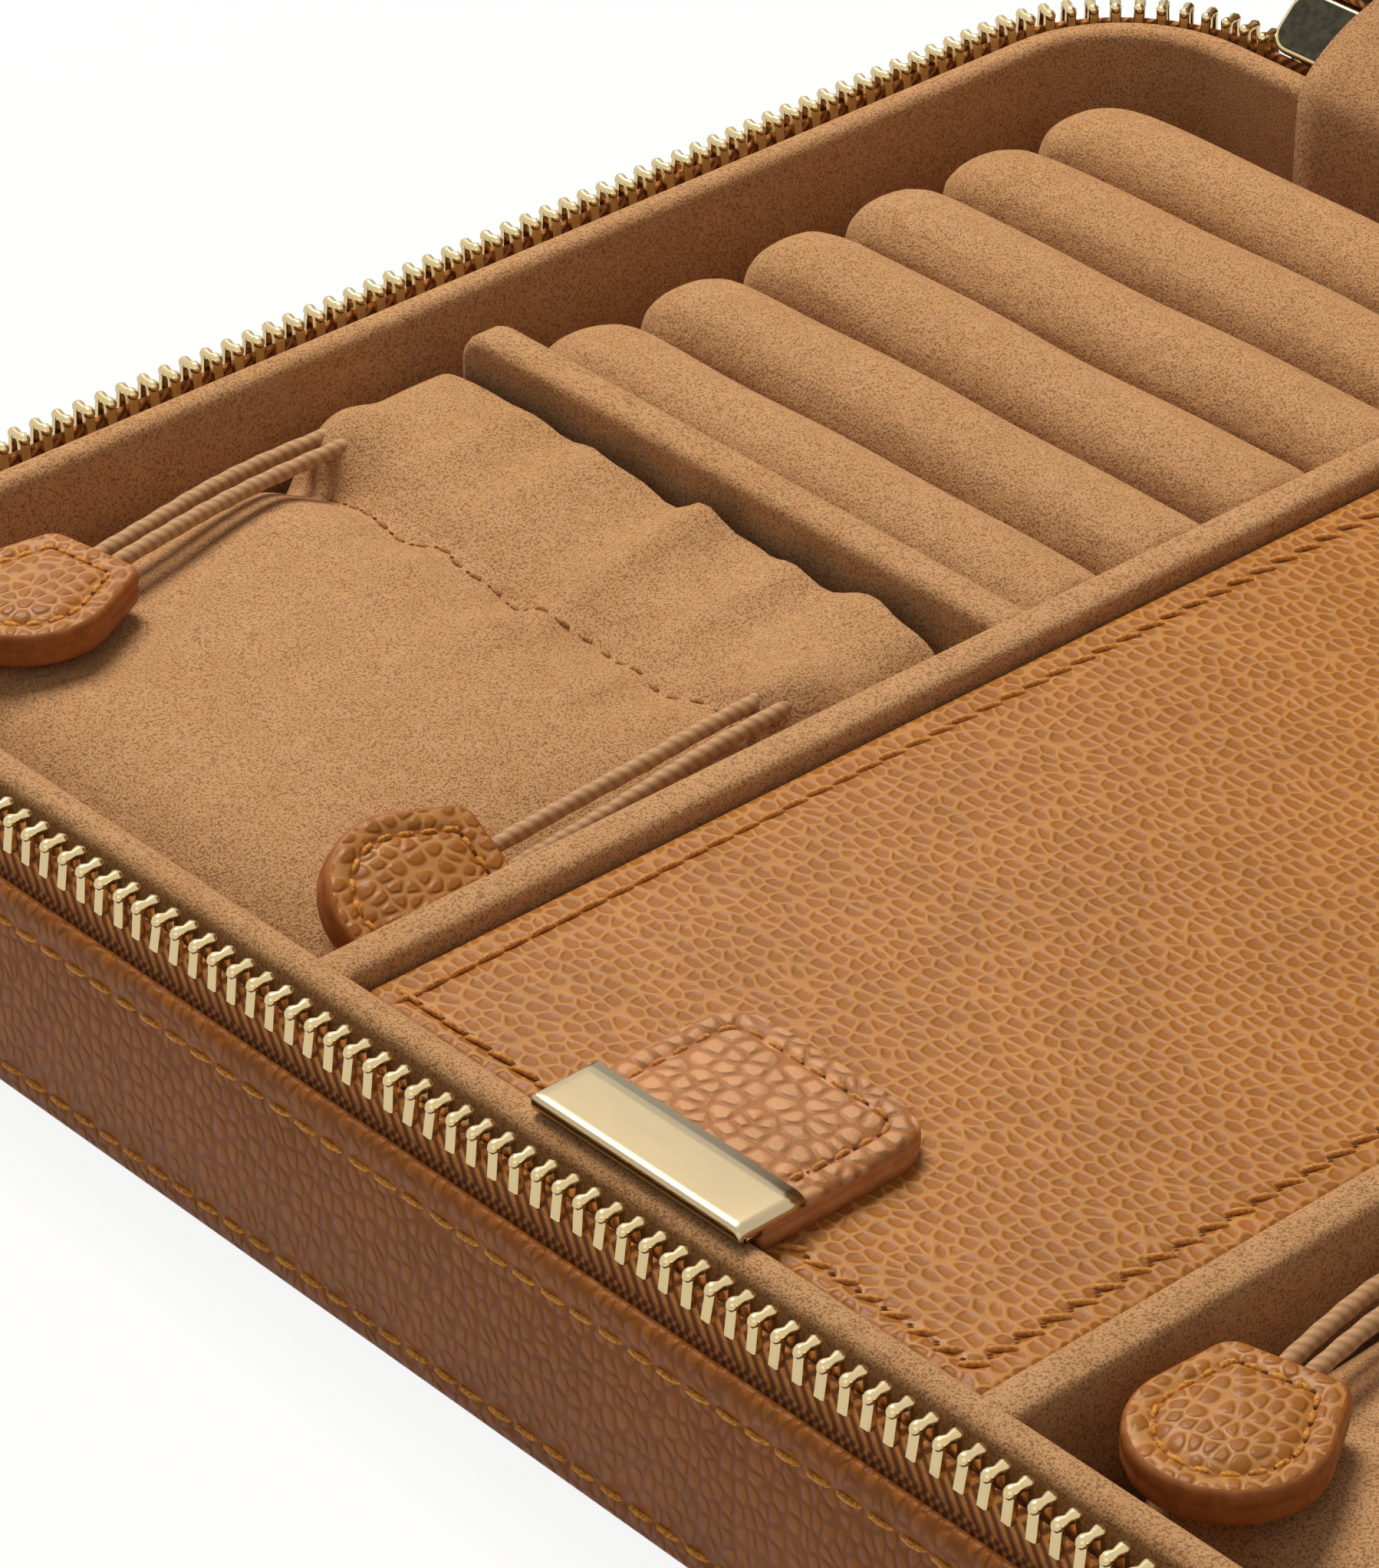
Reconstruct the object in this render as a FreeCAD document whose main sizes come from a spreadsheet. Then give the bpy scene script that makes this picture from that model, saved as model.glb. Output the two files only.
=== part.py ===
import FreeCAD, Part
import Sketcher
import math
import os
import re

# Zip-round jewellery case, open: X runs along the front edge, Y from the front edge to the spine, Z up.
# The origin is the centre of the bottom panel's underside.

doc = FreeCAD.newDocument("jewellery_case")
sheet = doc.addObject("Spreadsheet::Sheet", "Sizes")

# Driving sizes, in millimetres and degrees
sizes = {
    # outer shell
    "case_width": 252.0,
    "case_depth": 188.0,
    "case_corner": 22.3,
    "leather_thick": 1.6,
    "fold_round": 0.7,
    "fold_drop": 5.3,
    "parting_height": 26.2,
    "panel_thick": 2.0,
    "stiffener_drop": 2.6,
    "shell_clear": 0.1,
    # lid half
    "lid_height": 20.0,
    "lid_open": 100.0,
    "parting_clear": 0.2,
    "lid_rim_drop": 1.8,
    # zip
    "chain_inset": 1.9,
    "chain_width": 2.8,
    "chain_height": 3.2,
    "tape_thick": 0.8,
    "tape_drop": 13.8,
    "zip_end": 24.1,
    "tape_end": 34.5,
    "spine_end": 36.0,
    "stop_long": 3.0,
    "stop_clear": 0.2,
    # zip slider and its puller
    "slider_long": 10.0,
    "slider_tall": 7.0,
    "slider_plate": 1.0,
    "slider_gap": 2.4,
    "slider_core": 3.0,
    "slider_tilt": 45.0,
    "slider_lift": 1.0,
    "bail_wire": 1.2,
    "bail_reach": 2.2,
    "bail_span": 7.0,
    "puller_long": 20.0,
    "puller_wide": 6.0,
    "puller_thick": 1.4,
    "puller_barrel": 2.8,
    "puller_clear": 0.3,
    # suede tray
    "tray_gap": 6.3,
    "tray_height": 25.4,
    "tray_wall_thick": 3.2,
    "tray_edge_round": 1.3,
    "floor_thick": 2.6,
    "left_lane": 76.1,
    "lid_lane": 71.9,
    "divider_thick": 4.0,
    "fit_clear": 0.3,
    "cross_place": 93.9,
    "cross_thick": 4.2,
    # ring rolls
    "roll_diameter": 13.2,
    "roll_pitch": 13.3,
    "roll_clear": 0.1,
    "roll_end_gap": 0.6,
    "bar_inset": 4.0,
    # inner lid
    "lid_side_clear": 0.5,
    "lid_front_clear": 0.4,
    "lid_hinge_clear": 0.1,
    "lid_drop": 1.5,
    "lid_leather": 1.0,
    "lid_board": 2.4,
    "lid_edge_round": 0.6,
    "lid_ledge_wide": 3.0,
    "lid_ledge_tall": 3.0,
    "hinge_strip_thick": 0.7,
    "hinge_strip_tall": 7.0,
    "tab_wide": 23.4,
    "tab_long": 20.4,
    "tab_thick": 2.9,
    "tab_corner": 5.0,
    "tab_edge_round": 0.8,
    "plate_wide": 23.8,
    "plate_long": 6.8,
    "plate_thick": 0.5,
    "plate_overhang": 2.5,
    "plate_lip": 1.5,
    # hinge lining
    "lining_thick": 0.8,
    "lining_end": 33.8,
    "lining_flap": 17.0,
    "lining_lid_flap": 11.0,
    "lining_valley": 4.8,
    "lining_clear": 0.15,
    # pouches, their pulls and cords
    "pouch_gap": 2.4,
    "pouch_tall": 16.1,
    "pouch_slope": 10.5,
    "pouch_corner": 8.0,
    "pouch_header": 15.35,
    "header_rise": 2.0,
    "pull_long": 19.0,
    "pull_wide": 17.6,
    "pull_neck": 12.0,
    "pull_thick": 4.0,
    "pull_clear": 0.2,
    "first_pull_side": 13.3,
    "first_pull_front": 26.2,
    "first_pull_turn": 9.3,
    "second_pull_side": 8.2,
    "second_pull_front": 19.8,
    "second_pull_turn": 14.4,
    "sloped_pull_side": 5.5,
    "sloped_pull_front": 25.2,
    "cord_diameter": 1.6,
}
roll_count = 6
for row, (alias, number) in enumerate(sizes.items(), start=1):
    sheet.set("A%d" % row, str(number))
    sheet.setAlias("A%d" % row, alias)
doc.recompute()

# Levels and places, as formulas in alias words
floor_top = "(panel_thick + floor_thick)"
fold_top = "(parting_height - fold_drop)"
stiff_inset = "(chain_inset + chain_width / 2 + tape_thick / 2 + fit_clear)"
chain_bottom = "(parting_height - parting_clear - chain_height)"
left_face = "(-case_width / 2 + tray_gap + tray_wall_thick)"
right_face = "(case_width / 2 - tray_gap - tray_wall_thick)"
front_face = "(-case_depth / 2 + tray_gap + tray_wall_thick)"
back_face = "(case_depth / 2 - tray_gap - tray_wall_thick)"
tray_depth = "(case_depth - 2 * tray_gap - 2 * tray_wall_thick - lining_thick)"
divider_tall = "(tray_height - panel_thick - floor_thick)"
left_divider = "(" + left_face + " + left_lane)"
lid_lane_left = "(" + left_divider + " + divider_thick)"
right_divider = "(" + lid_lane_left + " + lid_lane)"
right_lane_left = "(" + right_divider + " + divider_thick)"
right_lane = "(" + right_face + " - " + right_lane_left + ")"
bar_front = "(" + back_face + " - cross_place)"
lid_top = "(tray_height - lid_drop)"
lid_left = "(" + lid_lane_left + " + lid_side_clear)"
lid_wide = "(lid_lane - 2 * lid_side_clear)"
lid_front = "(" + front_face + " + lid_front_clear)"
lid_back = "(" + back_face + " - lining_thick - hinge_strip_thick - lid_hinge_clear)"
lid_deep = "(" + lid_back + " - " + lid_front + ")"
tab_left = "(" + lid_left + " + " + lid_wide + " / 2 - tab_wide / 2)"
plate_left = "(" + lid_left + " + " + lid_wide + " / 2 - plate_wide / 2)"
plate_front = "(" + lid_front + " - plate_overhang)"
plate_top = "(" + lid_top + " + tab_thick + plate_thick)"
pouch_front = "(" + front_face + " + pouch_gap)"
pouch_deep = "(" + bar_front + " - " + front_face + " - 2 * pouch_gap)"
pouch_bottom = "(" + floor_top + " + fit_clear)"
pouch_top = "(" + pouch_bottom + " + pouch_tall)"
lid_case_top = "(parting_height + lid_height)"
lid_fold = "(parting_height + fold_drop)"
lid_rim = "(parting_height + lid_rim_drop)"
lid_board_top = "(" + lid_case_top + " - panel_thick)"

pieces = []


def size(alias):
    return float(sheet.get(alias))


def cells(text):
    # a formula in alias words, with each alias tied to its cell
    def tie(match):
        word = match.group(0)
        return "Sizes." + word if word in sizes else word
    return re.sub(r"[a-z_]+", tie, text)


def value(text):
    # the number that a formula in alias words gives, worked out by a spare box
    probe.setExpression("Placement.Base.x", cells(text))
    doc.recompute()
    return probe.Placement.Base.x


def new_body(label):
    body = doc.addObject("PartDesign::Body", label)
    body.Label = label
    pieces.append(body)
    return body


def sketch_at(body, name, role, place):
    plane = [feature for feature in body.Origin.OriginFeatures if feature.Role == role][0]
    sketch = body.newObject("Sketcher::SketchObject", body.Label + "_" + name)
    sketch.AttachmentSupport = [(plane, "")]
    sketch.MapMode = "FlatFace"
    for axis, formula in zip("xyz", place):
        sketch.setExpression("AttachmentOffset.Base." + axis, cells(formula))
    return sketch


def bind(sketch, constraint, name, formula):
    index = sketch.addConstraint(constraint)
    sketch.renameConstraint(index, name)
    sketch.setExpression("Constraints." + name, cells(formula))


def rounded_loop(sketch, name, inset):
    # the case's outline, drawn in by an inset; start sizes only have to be in proportion
    half_x, half_y, radius = 60.0, 40.0, 5.0
    if name == "inner":
        half_x, half_y, radius = 50.0, 30.0, 4.0
    centres = [(half_x, -half_y), (half_x, half_y), (-half_x, half_y), (-half_x, -half_y)]
    first = sketch.GeometryCount
    for turn in range(4):
        start = math.radians(90 * turn - 90)
        ahead = centres[turn]
        behind = centres[turn - 1]
        out = (radius * math.cos(start), radius * math.sin(start))
        sketch.addGeometry(Part.LineSegment(
            FreeCAD.Vector(behind[0] + out[0], behind[1] + out[1], 0),
            FreeCAD.Vector(ahead[0] + out[0], ahead[1] + out[1], 0)))
    for turn in range(4):
        start = math.radians(90 * turn - 90)
        circle = Part.Circle(FreeCAD.Vector(*centres[turn], 0), FreeCAD.Vector(0, 0, 1), radius)
        sketch.addGeometry(Part.ArcOfCircle(circle, start, start + math.pi / 2))
    line = [first + turn for turn in range(4)]
    arc = [first + 4 + turn for turn in range(4)]
    for turn in range(4):
        sketch.addConstraint(Sketcher.Constraint("Tangent", line[turn], 2, arc[turn], 1))
        sketch.addConstraint(Sketcher.Constraint("Tangent", arc[turn], 2, line[(turn + 1) % 4], 1))
    for turn in (0, 2):
        sketch.addConstraint(Sketcher.Constraint("Horizontal", line[turn]))
        sketch.addConstraint(Sketcher.Constraint("Vertical", line[turn + 1]))
    for turn in range(3):
        sketch.addConstraint(Sketcher.Constraint("Equal", arc[turn], arc[turn + 1]))
    sketch.addConstraint(Sketcher.Constraint("Symmetric", arc[0], 3, arc[2], 3, -1, 1))
    bind(sketch, Sketcher.Constraint("DistanceX", line[3], 1, line[1], 1, 2 * (half_x + radius)),
         name + "_width", "case_width - 2 * " + inset)
    bind(sketch, Sketcher.Constraint("DistanceY", line[0], 1, line[2], 1, 2 * (half_y + radius)),
         name + "_depth", "case_depth - 2 * " + inset)
    bind(sketch, Sketcher.Constraint("Radius", arc[0], radius), name + "_corner", "case_corner - " + inset)


def rectangle(sketch, width, depth):
    # a rectangle that starts at the sketch's origin
    corners = [(0, 0), (30, 0), (30, 20), (0, 20)]
    for turn in range(4):
        sketch.addGeometry(Part.LineSegment(
            FreeCAD.Vector(*corners[turn], 0), FreeCAD.Vector(*corners[(turn + 1) % 4], 0)))
    for turn in range(4):
        sketch.addConstraint(Sketcher.Constraint("Coincident", turn, 2, (turn + 1) % 4, 1))
    for turn in (0, 2):
        sketch.addConstraint(Sketcher.Constraint("Horizontal", turn))
        sketch.addConstraint(Sketcher.Constraint("Vertical", turn + 1))
    sketch.addConstraint(Sketcher.Constraint("Coincident", 0, 1, -1, 1))
    bind(sketch, Sketcher.Constraint("DistanceX", 0, 1, 0, 2, 30.0), "width", width)
    bind(sketch, Sketcher.Constraint("DistanceY", 1, 1, 1, 2, 20.0), "depth", depth)


def pad(body, sketch, length):
    feature = body.newObject("PartDesign::Pad", sketch.Name + "_pad")
    feature.Profile = sketch
    feature.setExpression("Length", cells(length))
    doc.recompute()
    return feature


def round_edges(body, radius, chosen):
    base = body.Tip
    names = ["Edge%d" % number for number, edge in enumerate(base.Shape.Edges, start=1) if chosen(edge)]
    feature = body.newObject("PartDesign::Fillet", base.Name + "_round")
    feature.Base = (base, names)
    feature.setExpression("Radius", cells(radius))
    doc.recompute()


def flat_at(height):
    return lambda edge: edge.BoundBox.ZLength < 1e-6 and abs(edge.BoundBox.ZMax - height) < 1e-6


def slab(label, inset, bottom, tall):
    body = new_body(label)
    sketch = sketch_at(body, "outline", "XY_Plane", ("0", "0", bottom))
    rounded_loop(sketch, "outer", inset)
    pad(body, sketch, tall)
    return body


def ring(label, outer, inner, bottom, tall):
    body = new_body(label)
    sketch = sketch_at(body, "outline", "XY_Plane", ("0", "0", bottom))
    rounded_loop(sketch, "outer", outer)
    rounded_loop(sketch, "inner", inner)
    pad(body, sketch, tall)
    return body


def open_back(body, end, top):
    # cuts the ring at the spine, between two ends that lie this far from the case's sides
    before = body.Shape.Volume
    sketch = sketch_at(body, "spine_gap", "XY_Plane",
                       ("-case_width / 2 + " + end, "case_depth / 2 - tray_gap", top + " + fit_clear"))
    rectangle(sketch, "case_width - 2 * " + end, "2 * tray_gap")
    feature = body.newObject("PartDesign::Pocket", body.Label + "_cut")
    feature.Profile = sketch
    feature.Type = "ThroughAll"
    doc.recompute()
    if body.Shape.Volume > before - 1:
        raise RuntimeError(body.Label + ": the spine gap cuts nothing")


def block(label, place, span):
    # a plain block from its lowest corner
    box = doc.addObject("Part::Box", label)
    box.Label = label
    for axis, formula in zip("xyz", place):
        box.setExpression("Placement.Base." + axis, cells(formula))
    for side, formula in zip(("Length", "Width", "Height"), span):
        box.setExpression(side, cells(formula))
    return box


def sketched_block(label, place, span):
    # a block whose sketch carries its place, so that its body can still be turned
    body = new_body(label)
    sketch = sketch_at(body, "outline", "XY_Plane", place)
    rectangle(sketch, span[0], span[1])
    pad(body, sketch, span[2])
    return body


def soft_block(label, place, span, radius, chosen):
    # a block with rounded edges
    body = sketched_block(label, place, span)
    round_edges(body, radius, chosen)


def joined(label, parts):
    fuse = doc.addObject("Part::MultiFuse", label)
    fuse.Label = label
    fuse.Shapes = parts
    pieces.append(fuse)
    return fuse


def feature(label, shape):
    piece = doc.addObject("Part::Feature", label)
    piece.Label = label
    piece.Shape = shape
    pieces.append(piece)
    return piece


probe = doc.addObject("Part::Box", "Probe")
tray_rim = size("tray_height")
hinge = FreeCAD.Vector(0, size("case_depth") / 2, size("parting_height"))
lid_turn = FreeCAD.Rotation(FreeCAD.Vector(1, 0, 0), -size("lid_open"))
lid_place = FreeCAD.Placement(hinge - lid_turn.multVec(hinge), lid_turn)

# Base shell: bottom panel, leather side wall with its turned fold, board behind it and the spine's leather
slab("base_panel", "(leather_thick + shell_clear)", "0", "panel_thick")
wall = ring("base_side_wall", "0", "leather_thick", "0", fold_top)
round_edges(wall, "fold_round", flat_at(value(fold_top)))
ring("base_stiffener", stiff_inset, "(tray_gap - shell_clear)", "panel_thick",
     fold_top + " - stiffener_drop - panel_thick")
pieces.append(block("base_spine",
                    ("-case_width / 2 + spine_end", "case_depth / 2 - leather_thick", fold_top),
                    ("case_width - 2 * spine_end", "leather_thick",
                     "fold_drop - parting_clear")))

# Base zip: woven tape and the chain of teeth along its edge, both open at the spine
tape_outer = "(chain_inset + chain_width / 2 - tape_thick / 2)"
tape_inner = "(chain_inset + chain_width / 2 + tape_thick / 2)"
tape = ring("base_zip_tape", tape_outer, tape_inner, chain_bottom + " - tape_drop", "tape_drop")
open_back(tape, "tape_end", "parting_height")
chain = ring("base_zip_chain", "chain_inset", "(chain_inset + chain_width)", chain_bottom, "chain_height")
open_back(chain, "zip_end", "parting_height")
pieces.append(block("zip_end_stop",
                    ("case_width / 2 - zip_end - stop_clear - stop_long",
                     "case_depth / 2 - chain_inset - chain_width", chain_bottom),
                    ("stop_long", "chain_width", "chain_height")))

# Zip slider: two plates on a core, with a bail for the puller, leaning out over the tape's end
slider_thick = "(2 * slider_plate + slider_gap)"
bail_out = "(" + slider_thick + " / 2 + bail_reach)"
slider_parts = [
    block("slider_outer_plate", ("-slider_long / 2", slider_thick + " / 2 - slider_plate", "0"),
          ("slider_long", "slider_plate", "slider_tall")),
    block("slider_inner_plate", ("-slider_long / 2", "-" + slider_thick + " / 2", "0"),
          ("slider_long", "slider_plate", "slider_tall")),
    block("slider_middle", ("-slider_core / 2", "-slider_gap / 2", "0"),
          ("slider_core", "slider_gap", "slider_tall")),
]
for side in ("-bail_span / 2", "bail_span / 2 - bail_wire"):
    slider_parts.append(block("slider_post", (side, slider_thick + " / 2", "slider_tall / 2 - bail_wire / 2"),
                              ("bail_wire", "bail_reach", "bail_wire")))
bail = doc.addObject("Part::Cylinder", "slider_bail")
bail.setExpression("Radius", cells("bail_wire / 2"))
bail.setExpression("Height", cells("bail_span"))
for axis, formula in zip("xyz", ("-bail_span / 2", bail_out, "slider_tall / 2")):
    bail.setExpression("Placement.Base." + axis, cells(formula))
bail.Placement.Rotation = FreeCAD.Rotation(FreeCAD.Vector(0, 1, 0), 90)
slider_parts.append(bail)
slider = joined("zip_slider", slider_parts)
slider_lean = FreeCAD.Rotation(FreeCAD.Vector(1, 0, 0), -size("slider_tilt"))
slider_foot = FreeCAD.Vector(
    value("-case_width / 2 + zip_end + stop_clear + slider_long / 2"),
    value("case_depth / 2 - chain_inset - chain_width / 2"),
    value(chain_bottom + " + slider_lift"))
slider.Placement = FreeCAD.Placement(slider_foot, slider_lean)
bail_centre = slider_foot + slider_lean.multVec(FreeCAD.Vector(0, value(bail_out), size("slider_tall") / 2))

# Zip puller: a rolled barrel round the bail and a flat tongue that hangs from it
wire = size("bail_wire")
barrel_long = size("bail_span") - 2 * wire - 2 * size("puller_clear")
barrel_radius = size("puller_barrel") / 2
half_wide = size("puller_wide") / 2
sheet_thick = size("puller_thick")
tip_drop = size("puller_long") - half_wide
neck_drop = barrel_radius + wire
along_x = FreeCAD.Vector(1, 0, 0)
along_y = FreeCAD.Vector(0, 1, 0)
barrel = Part.makeCylinder(barrel_radius, barrel_long, FreeCAD.Vector(-barrel_long / 2, 0, 0), along_x)
neck = Part.makeBox(barrel_long, sheet_thick, neck_drop,
                    FreeCAD.Vector(-barrel_long / 2, -sheet_thick / 2, -neck_drop))
tongue = Part.makeBox(2 * half_wide, sheet_thick, tip_drop - neck_drop,
                      FreeCAD.Vector(-half_wide, -sheet_thick / 2, -tip_drop))
tip = Part.makeCylinder(half_wide, sheet_thick, FreeCAD.Vector(0, -sheet_thick / 2, -tip_drop), along_y)
bore = Part.makeCylinder(wire / 2 + size("puller_clear"), 2 * barrel_long,
                         FreeCAD.Vector(-barrel_long, 0, 0), along_x)
puller = feature("zip_puller", barrel.fuse([neck, tongue, tip]).removeSplitter().cut(bore))
puller.Placement = FreeCAD.Placement(bail_centre, FreeCAD.Rotation())

# Suede tray: floor, wall, two long dividers and the cross pieces of the outer lanes
slab("tray_floor", "tray_gap", "panel_thick", "floor_thick")
tray = ring("tray_wall", "tray_gap", "(tray_gap + tray_wall_thick)", floor_top, divider_tall)
round_edges(tray, "tray_edge_round", flat_at(tray_rim))


def long_in_y(edge):
    return flat_at(tray_rim)(edge) and edge.BoundBox.YLength > edge.BoundBox.XLength


def long_in_x(edge):
    return flat_at(tray_rim)(edge) and edge.BoundBox.XLength > edge.BoundBox.YLength


for label, left in (("divider_left", left_divider), ("divider_right", right_divider)):
    soft_block(label, (left, front_face, floor_top), ("divider_thick", tray_depth, divider_tall),
               "tray_edge_round", long_in_y)
soft_block("cross_divider_right", (right_lane_left, bar_front, floor_top),
           (right_lane, "cross_thick", divider_tall), "tray_edge_round", long_in_x)
soft_block("ring_bar", (left_face + " + bar_inset", bar_front, floor_top),
           ("left_lane - bar_inset", "cross_thick", divider_tall), "tray_edge_round", long_in_x)

# Ring rolls: padded rods with a round left end, side by side on a foam bed
pieces.append(block("ring_bed", (left_face + " + roll_end_gap", bar_front + " + cross_thick", floor_top),
                    ("left_lane - roll_end_gap", "roll_clear + %d * roll_pitch" % roll_count,
                     "tray_height - roll_diameter - roll_clear - " + floor_top)))


def ring_roll(number):
    body = new_body("ring_roll_%d" % number)
    sketch = sketch_at(body, "profile", "XY_Plane", ("0", "0", "0"))
    circle = Part.Circle(FreeCAD.Vector(6, 0, 0), FreeCAD.Vector(0, 0, 1), 6)
    sketch.addGeometry(Part.ArcOfCircle(circle, math.pi / 2, math.pi))
    sketch.addGeometry(Part.LineSegment(FreeCAD.Vector(6, 6, 0), FreeCAD.Vector(70, 6, 0)))
    sketch.addGeometry(Part.LineSegment(FreeCAD.Vector(70, 6, 0), FreeCAD.Vector(70, 0, 0)))
    sketch.addGeometry(Part.LineSegment(FreeCAD.Vector(70, 0, 0), FreeCAD.Vector(0, 0, 0)))
    sketch.addConstraint(Sketcher.Constraint("Tangent", 0, 1, 1, 1))
    sketch.addConstraint(Sketcher.Constraint("Coincident", 1, 2, 2, 1))
    sketch.addConstraint(Sketcher.Constraint("Coincident", 2, 2, 3, 1))
    sketch.addConstraint(Sketcher.Constraint("Coincident", 3, 2, 0, 2))
    sketch.addConstraint(Sketcher.Constraint("Horizontal", 1))
    sketch.addConstraint(Sketcher.Constraint("Vertical", 2))
    sketch.addConstraint(Sketcher.Constraint("Horizontal", 3))
    sketch.addConstraint(Sketcher.Constraint("Coincident", 0, 2, -1, 1))
    sketch.addConstraint(Sketcher.Constraint("PointOnObject", 0, 3, -1))
    bind(sketch, Sketcher.Constraint("Radius", 0, 6.0), "round", "roll_diameter / 2")
    bind(sketch, Sketcher.Constraint("DistanceX", 3, 2, 3, 1, 70.0), "length",
         "left_lane - roll_end_gap - fit_clear")
    turned = body.newObject("PartDesign::Revolution", body.Label + "_turned")
    turned.Profile = sketch
    turned.ReferenceAxis = (sketch, ["H_Axis"])
    turned.Angle = 360
    doc.recompute()
    across = "%s + cross_thick + roll_clear + roll_diameter / 2 + %d * roll_pitch" % (bar_front, number - 1)
    body.Placement.Base = FreeCAD.Vector(value(left_face + " + roll_end_gap"), value(across),
                                         value("tray_height - roll_diameter / 2"))


for number in range(1, roll_count + 1):
    ring_roll(number)

# Inner lid over the middle compartment: board, leather, sewn tab, folded plate, hinge strip and front ledge
pieces.append(block("inner_lid_board", (lid_left, lid_front, lid_top + " - lid_leather - lid_board"),
                    (lid_wide, lid_deep, "lid_board")))
soft_block("inner_lid_leather", (lid_left, lid_front, lid_top + " - lid_leather"),
           (lid_wide, lid_deep, "lid_leather"), "lid_edge_round", flat_at(value(lid_top)))
tab = sketched_block("inner_lid_tab", (tab_left, lid_front, lid_top), ("tab_wide", "tab_long", "tab_thick"))
tab_back = value(lid_front + " + tab_long")
tab_front = value(lid_front)
tab_top = value(lid_top + " + tab_thick")


def at_tab_back(edge):
    return edge.BoundBox.ZLength > 1 and abs(edge.BoundBox.YMin - tab_back) < 1e-6


def round_tab_top(edge):
    return flat_at(tab_top)(edge) and edge.BoundBox.YMax > tab_front + 1e-3


round_edges(tab, "tab_corner", at_tab_back)
round_edges(tab, "tab_edge_round", round_tab_top)
joined("inner_lid_plate", [
    block("plate_top", (plate_left, plate_front, plate_top + " - plate_thick"),
          ("plate_wide", "plate_long", "plate_thick")),
    block("plate_nose", (plate_left, plate_front, plate_top + " - plate_lip"),
          ("plate_wide", "plate_thick", "plate_lip")),
    block("plate_return", (plate_left, plate_front, plate_top + " - plate_lip"),
          ("plate_wide", "plate_overhang - lid_hinge_clear", "plate_thick")),
])
pieces.append(block("inner_lid_hinge",
                    (lid_left, lid_back + " + lid_hinge_clear", lid_top + " - hinge_strip_tall"),
                    (lid_wide, "hinge_strip_thick", "hinge_strip_tall")))
pieces.append(block("lid_ledge", (lid_lane_left, front_face,
                                  lid_top + " - lid_leather - lid_board - fit_clear - lid_ledge_tall"),
                    ("lid_lane", "lid_ledge_wide", "lid_ledge_tall")))

# Lid half, made closed and then swung open about the spine
lid_start = len(pieces)
slab("lid_panel", "(leather_thick + shell_clear)", lid_board_top, "panel_thick")
lid_wall = ring("lid_side_wall", "0", "leather_thick", lid_fold, lid_case_top + " - " + lid_fold)
round_edges(lid_wall, "fold_round", flat_at(value(lid_fold)))
ring("lid_stiffener", stiff_inset, "(tray_gap - shell_clear)", lid_fold + " + stiffener_drop",
     lid_board_top + " - " + lid_fold + " - stiffener_drop")
sketched_block("lid_spine", ("-case_width / 2 + spine_end", "case_depth / 2 - leather_thick",
                             "parting_height + parting_clear"),
               ("case_width - 2 * spine_end", "leather_thick",
                "fold_drop - parting_clear"))
lid_chain_top = "(parting_height + parting_clear + chain_height)"
lid_tape = ring("lid_zip_tape", tape_outer, tape_inner, lid_chain_top,
                lid_board_top + " - fit_clear - " + lid_chain_top)
open_back(lid_tape, "tape_end", lid_case_top)
lid_chain = ring("lid_zip_chain", "chain_inset", "(chain_inset + chain_width)",
                 "(parting_height + parting_clear)", "chain_height")
open_back(lid_chain, "zip_end", lid_case_top)
ring("lid_lining_wall", "tray_gap", "(tray_gap + tray_wall_thick)", lid_rim,
     lid_board_top + " - floor_thick - " + lid_rim)
slab("lid_lining_board", "tray_gap", lid_board_top + " - floor_thick", "floor_thick")
doc.recompute()
for piece in pieces[lid_start:]:
    piece.Placement = lid_place.multiply(piece.Placement)

# Suede hinge lining: from inside the tray's back wall, over the spine in a shallow sag, into the open lid


def in_lid(depth, height):
    # a point beside the closed lid's back wall, measured from the hinge line, where the open lid carries it
    turned = lid_turn.multVec(FreeCAD.Vector(0, -depth, height))
    return (hinge.y + turned.y, hinge.z + turned.z)


def strip(line, thick):
    # the outline of a strip of even thickness about a line of (y, z) points
    sides = ([], [])
    for index, point in enumerate(line):
        before = line[max(index - 1, 0)]
        after = line[min(index + 1, len(line) - 1)]
        normals = []
        for start, end in ((before, point), (point, after)):
            run = math.hypot(end[0] - start[0], end[1] - start[1])
            if run > 0:
                normals.append(((start[1] - end[1]) / run, (end[0] - start[0]) / run))
        mean = (sum(n[0] for n in normals) / len(normals), sum(n[1] for n in normals) / len(normals))
        stretch = thick / 2 / (mean[0] ** 2 + mean[1] ** 2)
        for side, sign in zip(sides, (1, -1)):
            side.append((point[0] + sign * stretch * mean[0], point[1] + sign * stretch * mean[1]))
    return sides[0] + sides[1][::-1]


half_thick = size("lining_thick") / 2
off_wall = half_thick + size("lining_clear")
lining_front = value(back_face) - half_thick
rim_drop = size("lid_rim_drop")
lining_line = [
    (lining_front, tray_rim - size("lining_flap")),
    (lining_front, tray_rim + half_thick / 2),
    (lining_front + 2 * size("lining_thick"), tray_rim + off_wall + size("lining_thick")),
    (hinge.y - size("tray_gap") / 2, hinge.z + size("lining_valley") - half_thick),
    (hinge.y, hinge.z + size("lining_valley")),
    in_lid(size("tray_gap"), rim_drop - off_wall),
    in_lid(size("tray_gap") + size("tray_wall_thick") + off_wall, rim_drop - off_wall),
    in_lid(size("tray_gap") + size("tray_wall_thick") + off_wall, rim_drop + size("lining_lid_flap")),
]
lining_left = -size("case_width") / 2 + size("lining_end")
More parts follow.
